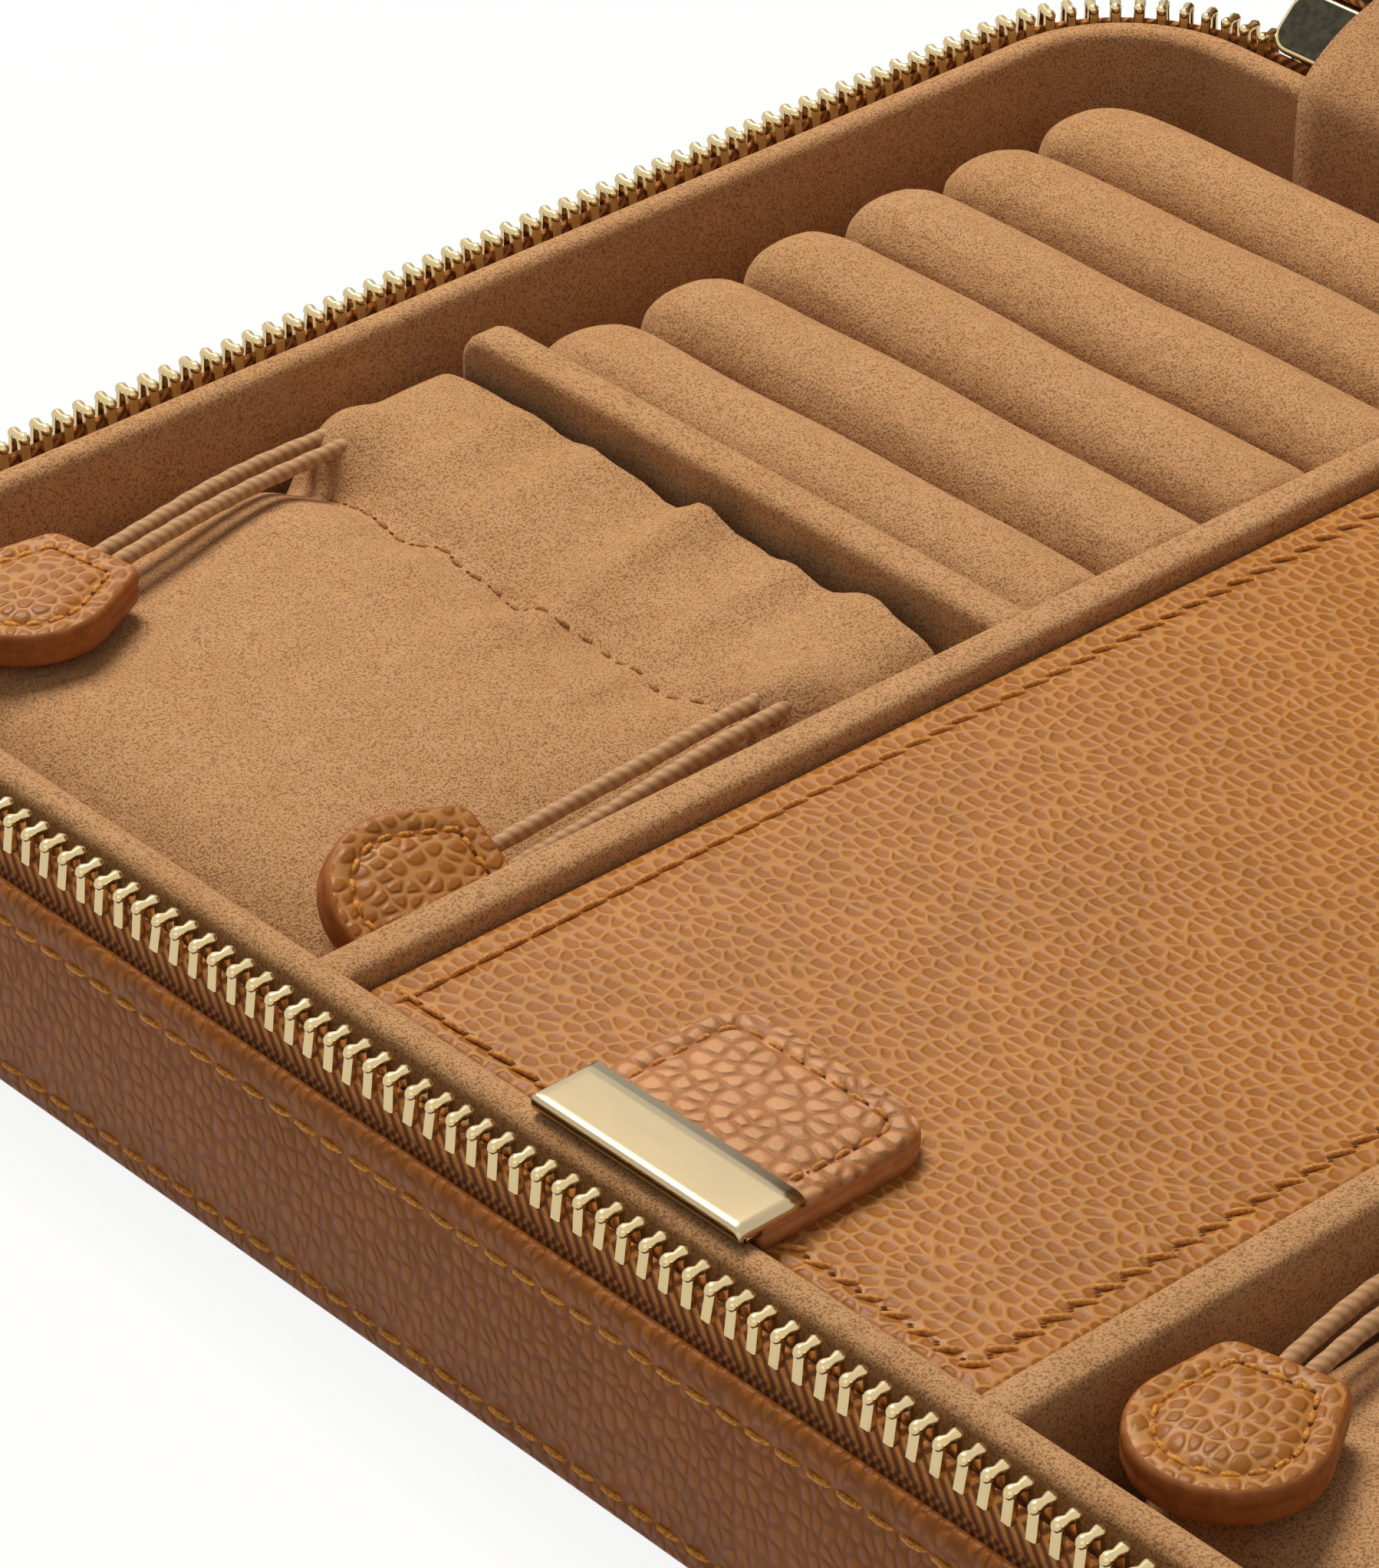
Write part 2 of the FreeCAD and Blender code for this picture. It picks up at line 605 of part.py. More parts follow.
outline = [FreeCAD.Vector(lining_left, *point) for point in strip(lining_line, size("lining_thick"))]
lining_face = Part.Face(Part.makePolygon(outline + outline[:1]))
feature("hinge_lining", lining_face.extrude(FreeCAD.Vector(-2 * lining_left, 0, 0)))

# Drawstring pouches: a soft bag with a raised gathered header and one sloping side


def pouch(label, lane_left, lane_wide):
    body = new_body(label)
    profile = sketch_at(body, "profile", "XZ_Plane", (lane_left + " + pouch_gap", pouch_bottom,
                                                      "-(" + pouch_front + ")"))
    corners = [(0, 0), (70, 0), (70, 8), (60, 18), (0, 18)]
    last = len(corners)
    for turn in range(last):
        profile.addGeometry(Part.LineSegment(
            FreeCAD.Vector(*corners[turn], 0), FreeCAD.Vector(*corners[(turn + 1) % last], 0)))
    for turn in range(last):
        profile.addConstraint(Sketcher.Constraint("Coincident", turn, 2, (turn + 1) % last, 1))
    for side in (0, 3):
        profile.addConstraint(Sketcher.Constraint("Horizontal", side))
        profile.addConstraint(Sketcher.Constraint("Vertical", side + 1))
    profile.addConstraint(Sketcher.Constraint("Coincident", 0, 1, -1, 1))
    bind(profile, Sketcher.Constraint("DistanceX", 0, 1, 0, 2, 70.0), "width", lane_wide + " - 2 * pouch_gap")
    bind(profile, Sketcher.Constraint("DistanceY", 4, 2, 4, 1, 18.0), "tall", "pouch_tall")
    bind(profile, Sketcher.Constraint("DistanceX", 2, 2, 2, 1, 10.0), "slope_out", "pouch_slope")
    bind(profile, Sketcher.Constraint("DistanceY", 2, 1, 2, 2, 10.0), "slope_down", "pouch_slope")
    bulk = pad(body, profile, pouch_deep)
    bulk.Reversed = True
    doc.recompute()
    front = value(pouch_front)

    def upright_at_front(edge):
        return edge.BoundBox.ZLength > edge.BoundBox.XLength + 1 and edge.BoundBox.YMax < front + 1

    round_edges(body, "pouch_corner", upright_at_front)
    header = sketch_at(body, "header", "XY_Plane",
                       (lane_left + " + pouch_gap", pouch_front + " + " + pouch_deep + " - pouch_header",
                        pouch_bottom))
    rectangle(header, lane_wide + " - 2 * pouch_gap", "pouch_header")
    pad(body, header, "pouch_tall + header_rise")
    return body


def pull(label, neck, turn, slope):
    # a leather pull: straight neck where the cords go in, flaring to a round end
    body = new_body(label)
    sketch = sketch_at(body, "outline", "XY_Plane", ("0", "0", "-pull_thick / 2"))
    circle = Part.Circle(FreeCAD.Vector(11, 0, 0), FreeCAD.Vector(0, 0, 1), 8)
    sketch.addGeometry(Part.ArcOfCircle(circle, -math.pi / 2, math.pi / 2))
    sketch.addGeometry(Part.LineSegment(FreeCAD.Vector(11, 8, 0), FreeCAD.Vector(0, 6, 0)))
    sketch.addGeometry(Part.LineSegment(FreeCAD.Vector(0, 6, 0), FreeCAD.Vector(0, -6, 0)))
    sketch.addGeometry(Part.LineSegment(FreeCAD.Vector(0, -6, 0), FreeCAD.Vector(11, -8, 0)))
    for first, second in ((0, 1), (1, 2), (2, 3)):
        sketch.addConstraint(Sketcher.Constraint("Coincident", first, 2, second, 1))
    sketch.addConstraint(Sketcher.Constraint("Coincident", 3, 2, 0, 1))
    sketch.addConstraint(Sketcher.Constraint("PointOnObject", 2, 1, -2))
    sketch.addConstraint(Sketcher.Constraint("Symmetric", 2, 1, 2, 2, -1))
    sketch.addConstraint(Sketcher.Constraint("Symmetric", 0, 1, 0, 2, -1))
    sketch.addConstraint(Sketcher.Constraint("Symmetric", 0, 1, 0, 2, 0, 3))
    bind(sketch, Sketcher.Constraint("Radius", 0, 8.0), "end", "pull_wide / 2")
    bind(sketch, Sketcher.Constraint("DistanceX", -1, 1, 0, 3, 11.0), "reach", "pull_long - pull_wide / 2")
    bind(sketch, Sketcher.Constraint("DistanceY", 2, 2, 2, 1, 12.0), "neck", "pull_neck")
    pad(body, sketch, "pull_thick")
    lean = FreeCAD.Rotation(FreeCAD.Vector(0, 1, 0), slope)
    heading = FreeCAD.Rotation(FreeCAD.Vector(0, 0, 1), turn - 90)
    body.Placement = FreeCAD.Placement(FreeCAD.Vector(*neck), lean.multiply(heading))


def flat_pull(label, lane_left, name):
    neck = (value(lane_left + " + " + name + "_pull_side"), value(front_face + " + " + name + "_pull_front"),
            value(pouch_top + " + pull_clear + pull_thick / 2"))
    pull(label, neck, size(name + "_pull_turn"), 0)


def sloped_pull(label, lane_right):
    # lies on the bag's sloping side, square to its 45 degrees
    side = size("sloped_pull_side")
    lift = (size("pull_clear") + size("pull_thick") / 2) * math.sqrt(2)
    neck = (value(lane_right + " - pouch_gap") - side, value(front_face + " + sloped_pull_front"),
            value(pouch_top + " - pouch_slope") + side + lift)
    pull(label, neck, 0, 45)


pouch("pouch_1_bag", left_face, "left_lane")
pouch("pouch_2_bag", right_lane_left, right_lane)
flat_pull("pouch_1_pull_left", left_face, "first")
flat_pull("pouch_2_pull_left", right_lane_left, "second")
sloped_pull("pouch_1_pull_right", left_divider)
sloped_pull("pouch_2_pull_right", right_face)

# Pouch cords: two strands from the header's casing to each pull, as straight runs joined by tangent arcs
cord_routes = {
    "pouch_1_cord_left_inner": [(-106.4, -27.2, 21.9), (-106.5, -34.4, 21.9), (-105.4, -42.3, 22.4),
                                (-103.5, -50.2, 23.1), (-102.1, -58.0, 23.2)],
    "pouch_1_cord_left_outer": [(-108.9, -27.2, 21.9), (-109.2, -34.2, 21.9), (-107.9, -42.2, 22.5),
                                (-105.7, -50.4, 23.1), (-104.3, -58.4, 23.2)],
    "pouch_1_cord_right_inner": [(-48.9, -27.2, 21.9), (-48.7, -35.0, 21.9), (-48.6, -43.1, 21.3),
                                 (-49.2, -51.3, 20.4), (-49.1, -59.2, 19.9)],
    "pouch_1_cord_right_outer": [(-46.4, -27.2, 21.9), (-46.2, -35.0, 21.8), (-46.5, -43.0, 20.6),
                                 (-47.3, -51.2, 18.9), (-47.5, -59.2, 18.3)],
    "pouch_2_cord_left_inner": [(45.9, -27.2, 21.9), (45.8, -36.2, 21.9), (46.2, -45.7, 22.3),
                                (47.0, -55.2, 23.1), (48.75, -64.35, 23.2)],
    "pouch_2_cord_left_outer": [(43.4, -27.2, 21.9), (43.2, -36.4, 21.9), (43.6, -46.0, 22.4),
                                (44.6, -55.6, 23.1), (46.65, -64.85, 23.2)],
    "pouch_2_cord_right_inner": [(108.0, -27.2, 21.9), (108.2, -35.0, 21.9), (108.4, -43.0, 21.2),
                                 (107.8, -51.2, 20.3), (107.8, -59.2, 19.9)],
    "pouch_2_cord_right_outer": [(110.5, -27.2, 21.9), (110.3, -35.2, 21.7), (110.0, -43.2, 20.3),
                                 (109.5, -51.2, 18.9), (109.4, -59.2, 18.3)],
}


arc_share = 0.45


def cord(label, points):
    points = [FreeCAD.Vector(*point) for point in points]
    edges = []
    radii = []
    start = points[0]
    for before, corner, after in zip(points, points[1:], points[2:]):
        back = (before - corner).normalize()
        ahead = (after - corner).normalize()
        turn = math.pi - back.getAngle(ahead)
        reach = arc_share * min(before.distanceToPoint(corner), after.distanceToPoint(corner))
        radii.append(reach / math.tan(turn / 2))
        inward = (back + ahead).normalize()
        middle = corner + inward * (radii[-1] / math.cos(turn / 2) - radii[-1])
        edges.append(Part.LineSegment(start, corner + back * reach).toShape())
        edges.append(Part.Arc(corner + back * reach, middle, corner + ahead * reach).toShape())
        start = corner + ahead * reach
    edges.append(Part.LineSegment(start, points[-1]).toShape())
    route = Part.Wire(edges)
    radius = size("cord_diameter") / 2
    section = Part.Wire([Part.makeCircle(radius, points[0], points[1] - points[0])])
    tube = route.makePipeShell([section], True, False)
    whole = math.pi * radius ** 2 * route.Length
    print("%s: length %.1f mm, radii %s mm, volume %.4f of section times length"
          % (label, route.Length, ", ".join("%.0f" % r for r in radii), tube.Volume / whole))
    feature(label, tube)


for label, points in cord_routes.items():
    cord(label, points)

# Every piece has to be sound before any file is written
doc.removeObject("Probe")
doc.recompute()
for thing in doc.Objects:
    if "Invalid" in thing.State or "Error" in thing.State:
        raise RuntimeError(thing.Label + ": " + ", ".join(thing.State))
for piece in pieces:
    if piece.Shape.isNull() or not piece.Shape.isValid() or not piece.Shape.Solids:
        raise RuntimeError(piece.Label + " has no sound solid")
os.makedirs("parts", exist_ok=True)
for piece in pieces:
    piece.Shape.exportStep("parts/%s.step" % piece.Label)
    box = piece.Shape.BoundBox
    print("%-26s volume %9.1f  x %.2f..%.2f  y %.2f..%.2f  z %.2f..%.2f" % (
        piece.Label, piece.Shape.Volume, box.XMin, box.XMax, box.YMin, box.YMax, box.ZMin, box.ZMax))
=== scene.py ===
import math
import bmesh
import bpy
import numpy as np
from mathutils import Matrix, Vector


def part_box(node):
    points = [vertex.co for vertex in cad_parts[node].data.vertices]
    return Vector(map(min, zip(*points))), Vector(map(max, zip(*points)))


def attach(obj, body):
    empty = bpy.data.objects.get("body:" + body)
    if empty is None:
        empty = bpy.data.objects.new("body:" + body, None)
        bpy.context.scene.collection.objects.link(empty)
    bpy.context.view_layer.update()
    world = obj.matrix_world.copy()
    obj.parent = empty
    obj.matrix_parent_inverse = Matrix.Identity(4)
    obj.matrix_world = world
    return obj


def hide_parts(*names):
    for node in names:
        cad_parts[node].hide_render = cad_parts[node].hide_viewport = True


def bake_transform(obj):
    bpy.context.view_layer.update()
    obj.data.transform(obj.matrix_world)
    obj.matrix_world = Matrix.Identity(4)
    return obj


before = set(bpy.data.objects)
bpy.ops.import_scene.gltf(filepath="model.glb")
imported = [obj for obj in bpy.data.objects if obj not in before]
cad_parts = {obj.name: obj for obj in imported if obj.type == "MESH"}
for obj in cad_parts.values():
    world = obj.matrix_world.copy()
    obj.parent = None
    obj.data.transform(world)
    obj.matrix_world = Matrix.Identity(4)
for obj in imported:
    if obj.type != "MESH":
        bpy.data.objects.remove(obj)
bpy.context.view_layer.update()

mm = 0.001
scene = bpy.context.scene
scene.view_settings.view_transform = "Standard"


def nodeBox(name):
    low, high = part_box(name)
    return np.array(low) / mm, np.array(high) / mm


def addObject(name, data):
    made = bpy.data.objects.new(name, data)
    scene.collection.objects.link(made)
    return made


# camera at the photograph's angle
cameraView = {
    "place": (0.3022181, -0.3549025, 0.3234302),
    "right": (0.671164, 0.741309, 0.0),
    "up": (-0.402917, 0.364810, 0.839388),
    "lens": 151.214,
    "sensor": 36.0,
}


def makeCamera():
    data = bpy.data.cameras.new("camera")
    data.lens = cameraView["lens"]
    data.sensor_width = cameraView["sensor"]
    data.clip_start = 0.01
    right = Vector(cameraView["right"]).normalized()
    up = Vector(cameraView["up"])
    back = right.cross(up).normalized()
    up = back.cross(right)
    turn = Matrix((right, up, back)).transposed().to_4x4()
    camera = addObject("camera", data)
    camera.matrix_world = Matrix.Translation(cameraView["place"]) @ turn
    scene.camera = camera


makeCamera()
print("stage: camera placed")


# node and colour helpers
def tint(red, green, blue):
    def linear(part):
        part = part / 255
        return part / 12.92 if part <= 0.04045 else ((part + 0.055) / 1.055) ** 2.4
    return (linear(red), linear(green), linear(blue), 1.0)


def addNode(tree, kind, inputs=None, **settings):
    made = tree.nodes.new(kind)
    for key, value in settings.items():
        setattr(made, key, value)
    for key, value in (inputs or {}).items():
        if isinstance(value, bpy.types.NodeSocket):
            tree.links.new(value, made.inputs[key])
        else:
            made.inputs[key].default_value = value
    return made


def newMaterial(name, **shaderValues):
    material = bpy.data.materials.new(name)
    material.use_nodes = True
    tree = material.node_tree
    shader = tree.nodes["Principled BSDF"]
    for key, value in shaderValues.items():
        shader.inputs[key.replace("_", " ")].default_value = value
    return material, tree, shader


def blendColour(tree, share, first, second):
    made = addNode(tree, "ShaderNodeMix", {0: share, 6: first, 7: second}, data_type="RGBA")
    return made.outputs[2]


def coloured(tree, shader, share, dark, light):
    mixed = blendColour(tree, share, tint(*dark), tint(*light))
    tree.links.new(mixed, shader.inputs["Base Color"])


def work(tree, operation, first, second=0.0):
    made = addNode(tree, "ShaderNodeMath", {0: first, 1: second}, operation=operation)
    return made.outputs[0]


def times(tree, first, second):
    return work(tree, "MULTIPLY", first, second)


def waves(tree, place, spacing):
    return work(tree, "SINE", times(tree, place, 2 * math.pi / (spacing * mm)))


def vectorWork(tree, operation, first, second=(0.0, 0.0, 0.0), scale=1.0):
    made = addNode(tree, "ShaderNodeVectorMath", {0: first, 1: second, 3: scale}, operation=operation)
    return made.outputs[0]


def ramp(tree, share, low, high, fromValue=0.0, toValue=1.0):
    made = addNode(tree, "ShaderNodeMapRange", {
        "Value": share, "From Min": low, "From Max": high, "To Min": fromValue, "To Max": toValue},
        interpolation_type="SMOOTHSTEP")
    return made.outputs["Result"]


def noise(tree, place, feature, detail=2.0, roughness=0.5):
    made = addNode(tree, "ShaderNodeTexNoise", {
        "Vector": place, "Scale": 1 / (feature * mm), "Detail": detail, "Roughness": roughness})
    return made.outputs["Fac"]


def raised(tree, shader, height, depth):
    made = addNode(tree, "ShaderNodeBump", {"Height": height, "Distance": depth * mm, "Strength": 1.0})
    tree.links.new(made.outputs["Normal"], shader.inputs["Normal"])


def places(tree, source="Object"):
    return addNode(tree, "ShaderNodeTexCoord").outputs[source]


# suede: short nap with fine dark pores and slow patches where it was brushed
suedeLook = {
    "light": (205, 158, 112),
    "brushed": (195, 146, 98),
    "pore": (96, 58, 26),
    "sheen": (232, 190, 145),
    "poreSize": 0.22,
    "napSize": 2.4,
    "patchSize": 22.0,
    "bump": 0.13,
}


def suedeMaterial(name, look):
    material, tree, shader = newMaterial(
        name, Roughness=0.95, Specular_IOR_Level=0.12, Sheen_Weight=0.25, Sheen_Roughness=0.55,
        Sheen_Tint=tint(*look["sheen"]))
    place = places(tree)
    patches = ramp(tree, noise(tree, place, look["patchSize"], 2.0), 0.3, 0.7)
    nap = ramp(tree, noise(tree, place, look["napSize"], 3.0, 0.65), 0.32, 0.68)
    grain = noise(tree, place, look["poreSize"], 2.0, 0.6)
    share = work(tree, "ADD", times(tree, patches, 0.35), times(tree, nap, 0.65))
    ground = blendColour(tree, share, tint(*look["brushed"]), tint(*look["light"]))
    pores = ramp(tree, grain, 0.37, 0.53, 0.36, 1.0)
    tree.links.new(blendColour(tree, pores, tint(*look["pore"]), ground), shader.inputs["Base Color"])
    raised(tree, shader, work(tree, "ADD", grain, times(tree, nap, 0.6)), look["bump"])
    return material


# pebbled leather: flat-topped cells with creases between them, on the piece's own map
lidLeatherLook = {
    "cell": (160, 100, 41),
    "crease": (185, 129, 70),
    "cellSize": 1.8,
    "stretch": 0.74,
    "creaseWide": 0.3,
    "sway": 0.45,
    "uneven": 0.7,
    "patchSize": 14.0,
    "fineSize": 0.28,
    "bump": 0.09,
    "rough": 0.38,
}
tabLeatherLook = dict(lidLeatherLook, cell=(204, 149, 103), crease=(168, 108, 61), cellSize=2.2,
                      stretch=0.86, creaseWide=0.34, bump=0.3, rough=0.42)
pullLeatherLook = dict(lidLeatherLook, cell=(160, 100, 43), crease=(188, 133, 77), cellSize=1.8,
                       stretch=0.8, bump=0.13, rough=0.34)
# painted shade: the case leather is the lid's leather coloured darker, standing in for the shade on side
# walls that face away from the key light; the panels and spine share it
caseLeatherLook = dict(lidLeatherLook, cell=(146, 85, 26), crease=(130, 72, 20), cellSize=1.35,
                       stretch=1.4, creaseWide=0.45, sway=0.9, uneven=0.8, bump=0.13, rough=0.42)


def pebbleMaterial(name, look):
    material, tree, shader = newMaterial(name, Specular_IOR_Level=0.14, Roughness=look["rough"])
    place = places(tree, "UV")
    sway = addNode(tree, "ShaderNodeTexNoise", {
        "Vector": place, "Scale": 1 / (2.6 * look["cellSize"] * mm), "Detail": 1.0}).outputs["Color"]
    sway = vectorWork(tree, "SUBTRACT", sway, (0.5, 0.5, 0.5))
    sway = vectorWork(tree, "SCALE", sway, scale=look["sway"] * look["cellSize"] * mm)
    moved = vectorWork(tree, "ADD", place, sway)
    stretched = (1.0, 1 / look["stretch"], 1.0)
    drawn = addNode(tree, "ShaderNodeMapping", {"Vector": moved, "Scale": stretched}).outputs[0]
    cellInputs = {"Vector": drawn, "Scale": 1 / (look["cellSize"] * mm), "Randomness": look["uneven"]}
    cell, nextCell = (addNode(tree, "ShaderNodeTexVoronoi", cellInputs, feature=feature,
                              voronoi_dimensions="2D").outputs for feature in ("F1", "F2"))
    edge = work(tree, "SUBTRACT", nextCell["Distance"], cell["Distance"])
    single = addNode(tree, "ShaderNodeSeparateColor", {"Color": cell["Color"]}).outputs[0]
    rounding = ramp(tree, cell["Distance"], 0.66, 0.5)
    flat = times(tree, ramp(tree, edge, 0.05, look["creaseWide"]), rounding)
    dome = times(tree, ramp(tree, edge, 0.0, 0.5), ramp(tree, cell["Distance"], 0.75, 0.2))
    hue = blendColour(tree, flat, tint(*look["crease"]), tint(*look["cell"]))
    cellShade = ramp(tree, single, 0.0, 1.0, 0.94, 1.06)
    slowShade = ramp(tree, noise(tree, place, look["patchSize"], 2.0), 0.3, 0.7, 0.95, 1.05)
    for shade in (cellShade, slowShade):
        hue = addNode(tree, "ShaderNodeHueSaturation", {"Color": hue, "Value": shade}).outputs[0]
    tree.links.new(hue, shader.inputs["Base Color"])
    fine = noise(tree, place, look["fineSize"], 2.0)
    raised(tree, shader, work(tree, "ADD", dome, times(tree, fine, 0.14)), look["bump"])
    return material


# zip tape: herringbone twill with a beaded selvedge, read from the tape's own map
# painted light: thread and gap are coloured lighter than the cloth itself, to make up for the shade of the
# narrow crevice the tape sits in
tapeLook = {
    "thread": (224, 148, 76),
    "gap": (124, 70, 29),
    "bead": 0.95,
    "beadRow": 1.3,
    "beadsTo": 10.9,
    "beadsFade": 0.12,
    "pick": 0.36,
    "rib": 1.35,
    "chevron": 5.0,
    "bump": 0.2,
}


def tapeMaterial(name, look):
    material, tree, shader = newMaterial(name, Roughness=0.85, Specular_IOR_Level=0.2, Sheen_Weight=0.15)
    place = places(tree, "UV")
    split = addNode(tree, "ShaderNodeSeparateXYZ", {"Vector": place})
    along, across = split.outputs[0], split.outputs[1]
    beadsTo = look["beadsTo"] * mm
    fade = look["beadsFade"] * mm
    fold = work(tree, "PINGPONG", work(tree, "SUBTRACT", across, beadsTo), look["chevron"] / 2 * mm)
    ribs = ramp(tree, waves(tree, work(tree, "ADD", along, fold), look["rib"]), -0.9, 0.7)
    picks = ramp(tree, waves(tree, across, look["pick"]), -1.0, 0.8, 0.82, 1.0)
    twill = times(tree, ribs, picks)
    beads = times(tree, waves(tree, across, look["beadRow"]), waves(tree, along, look["bead"]))
    beads = ramp(tree, beads, -0.5, 0.7)
    selvedge = ramp(tree, across, beadsTo + fade, beadsTo - fade)
    beside = work(tree, "SUBTRACT", 1.0, selvedge)
    weave = work(tree, "ADD", times(tree, beads, selvedge), times(tree, twill, beside))
    uneven = ramp(tree, noise(tree, place, 0.8, 2.0), 0.25, 0.75, 0.75, 1.15)
    coloured(tree, shader, times(tree, weave, uneven), look["gap"], look["thread"])
    raised(tree, shader, weave, look["bump"])
    return material


# pale gold metal, brushed faintly
goldLook = {"colour": (212, 190, 143), "rough": 0.17, "worn": 0.5, "scuff": 0.006}
plateLook = {"colour": (186, 167, 130), "rough": 0.2, "worn": 0.06, "scuff": 0.0002}


def metalMaterial(name, look):
    material, tree, shader = newMaterial(
        name, Metallic=1.0, Roughness=look["rough"], Base_Color=tint(*look["colour"]))
    place = places(tree)
    scuffs = addNode(tree, "ShaderNodeMapping", {"Vector": place, "Scale": (0.3, 1.0, 1.0)}).outputs[0]
    uneven = noise(tree, scuffs, 0.9, 3.0, 0.6)
    tree.links.new(ramp(tree, uneven, 0.2, 0.8, look["rough"], (1 + look["worn"]) * look["rough"]),
                   shader.inputs["Roughness"])
    raised(tree, shader, noise(tree, place, 2.5, 2.0), look["scuff"])
    return material


# sewing threads, light and dark
threadLooks = {
    "goldThread": ((226, 156, 60), (168, 104, 34)),
    "pouchThread": ((184, 132, 80), (140, 92, 48)),
    "brownThread": ((212, 144, 68), (166, 103, 42)),
}


def threadMaterial(name, light, dark):
    material, tree, shader = newMaterial(name, Roughness=0.62, Specular_IOR_Level=0.2, Sheen_Weight=0.1)
    strands = noise(tree, places(tree), 0.3, 3.0, 0.65)
    coloured(tree, shader, ramp(tree, strands, 0.35, 0.62), dark, light)
    raised(tree, shader, strands, 0.08)
    return material


# waxed cord: twisted strands, read from the cord's own map (around, along)
cordLook = {"light": (194, 151, 107), "dark": (168, 125, 83), "twist": 1.2, "bump": 0.014}


def cordMaterial(name, look):
    material, tree, shader = newMaterial(name, Roughness=0.55, Specular_IOR_Level=0.2, Sheen_Weight=0.1)
    split = addNode(tree, "ShaderNodeSeparateXYZ", {"Vector": places(tree, "UV")})
    around = times(tree, split.outputs[0], 4 * math.pi)
    along = times(tree, split.outputs[1], 2 * math.pi / (look["twist"] * mm))
    strands = ramp(tree, work(tree, "SINE", work(tree, "ADD", along, around)), -0.9, 0.6)
    fibre = ramp(tree, noise(tree, places(tree), 0.25, 2.0), 0.25, 0.7, 0.6, 1.1)
    coloured(tree, shader, times(tree, strands, fibre), look["dark"], look["light"])
    raised(tree, shader, strands, look["bump"])
    return material


# plain and painted surfaces: light, dark, roughness, size of the patches
paintLooks = {
    # needle holes: a dark colour as painted shade for the holes' hollows
    "needleHoleShade": ((112, 64, 27), (82, 45, 18), 0.9, 0.4),
    "edgePaint": ((168, 102, 50), (142, 82, 38), 0.42, 1.6),
    "tabEdge": ((200, 140, 92), (178, 117, 70), 0.42, 1.6),
    # the slider's dark face: partly its own finish, partly painted shade
    "sliderGrey": ((72, 68, 48), (40, 38, 26), 0.45, 0.9),
    # boards: dark brown, partly their own colour and partly painted shade for the gap between tray wall and
    # zip
    "fibreBoard": ((92, 62, 36), (66, 42, 22), 0.9, 0.8),
}


def paintMaterial(name, light, dark, rough, feature):
    material, tree, shader = newMaterial(name, Roughness=rough, Specular_IOR_Level=0.16)
    uneven = noise(tree, places(tree), feature, 3.0, 0.6)
    coloured(tree, shader, ramp(tree, uneven, 0.3, 0.7), dark, light)
    raised(tree, shader, uneven, 0.06)
    return material


suede = suedeMaterial("suede", suedeLook)
lidLeather = pebbleMaterial("lidLeather", lidLeatherLook)
tabLeather = pebbleMaterial("tabLeather", tabLeatherLook)
pullLeather = pebbleMaterial("pullLeather", pullLeatherLook)
caseLeather = pebbleMaterial("caseLeather", caseLeatherLook)
zipCloth = tapeMaterial("zipCloth", tapeLook)
toothGold = metalMaterial("toothGold", goldLook)
plateGold = metalMaterial("plateGold", plateLook)
waxedCord = cordMaterial("waxedCord", cordLook)
goldThread, pouchThread, brownThread = (threadMaterial(name, *look) for name, look in threadLooks.items())
needleHoleShade, edgePaint, tabEdge, sliderGrey, fibreBoard = (
    paintMaterial(name, *look) for name, look in paintLooks.items())
print("stage: materials made")


# mesh helpers: nets of points in millimetres become pieces in metres
def outwardFaces(mesh, fillHoles=False):
    shell = bmesh.new()
    shell.from_mesh(mesh)
    if fillHoles:
        bmesh.ops.holes_fill(shell, edges=shell.edges, sides=0)
    bmesh.ops.recalc_face_normals(shell, faces=shell.faces)
    shell.to_mesh(mesh)
    shell.free()


def finishMesh(name, points, faces, materials, cornerMap=None, faceMaterial=None):
    mesh = bpy.data.meshes.new(name)
    mesh.from_pydata((np.asarray(points, float) * mm).tolist(), [], faces)
    if cornerMap is not None:
        layer = mesh.uv_layers.new(name="map")
        layer.data.foreach_set("uv", (np.asarray(cornerMap, float) * mm).ravel())
    for material in materials:
        mesh.materials.append(material)
    if faceMaterial is not None:
        mesh.polygons.foreach_set("material_index", faceMaterial)
    mesh.polygons.foreach_set("use_smooth", [True] * len(mesh.polygons))
    outwardFaces(mesh)
    return addObject(name, mesh)


def belongs(piece, body, slot, *nodes):
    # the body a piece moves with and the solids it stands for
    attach(piece, body)
    if nodes:
        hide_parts(*nodes)


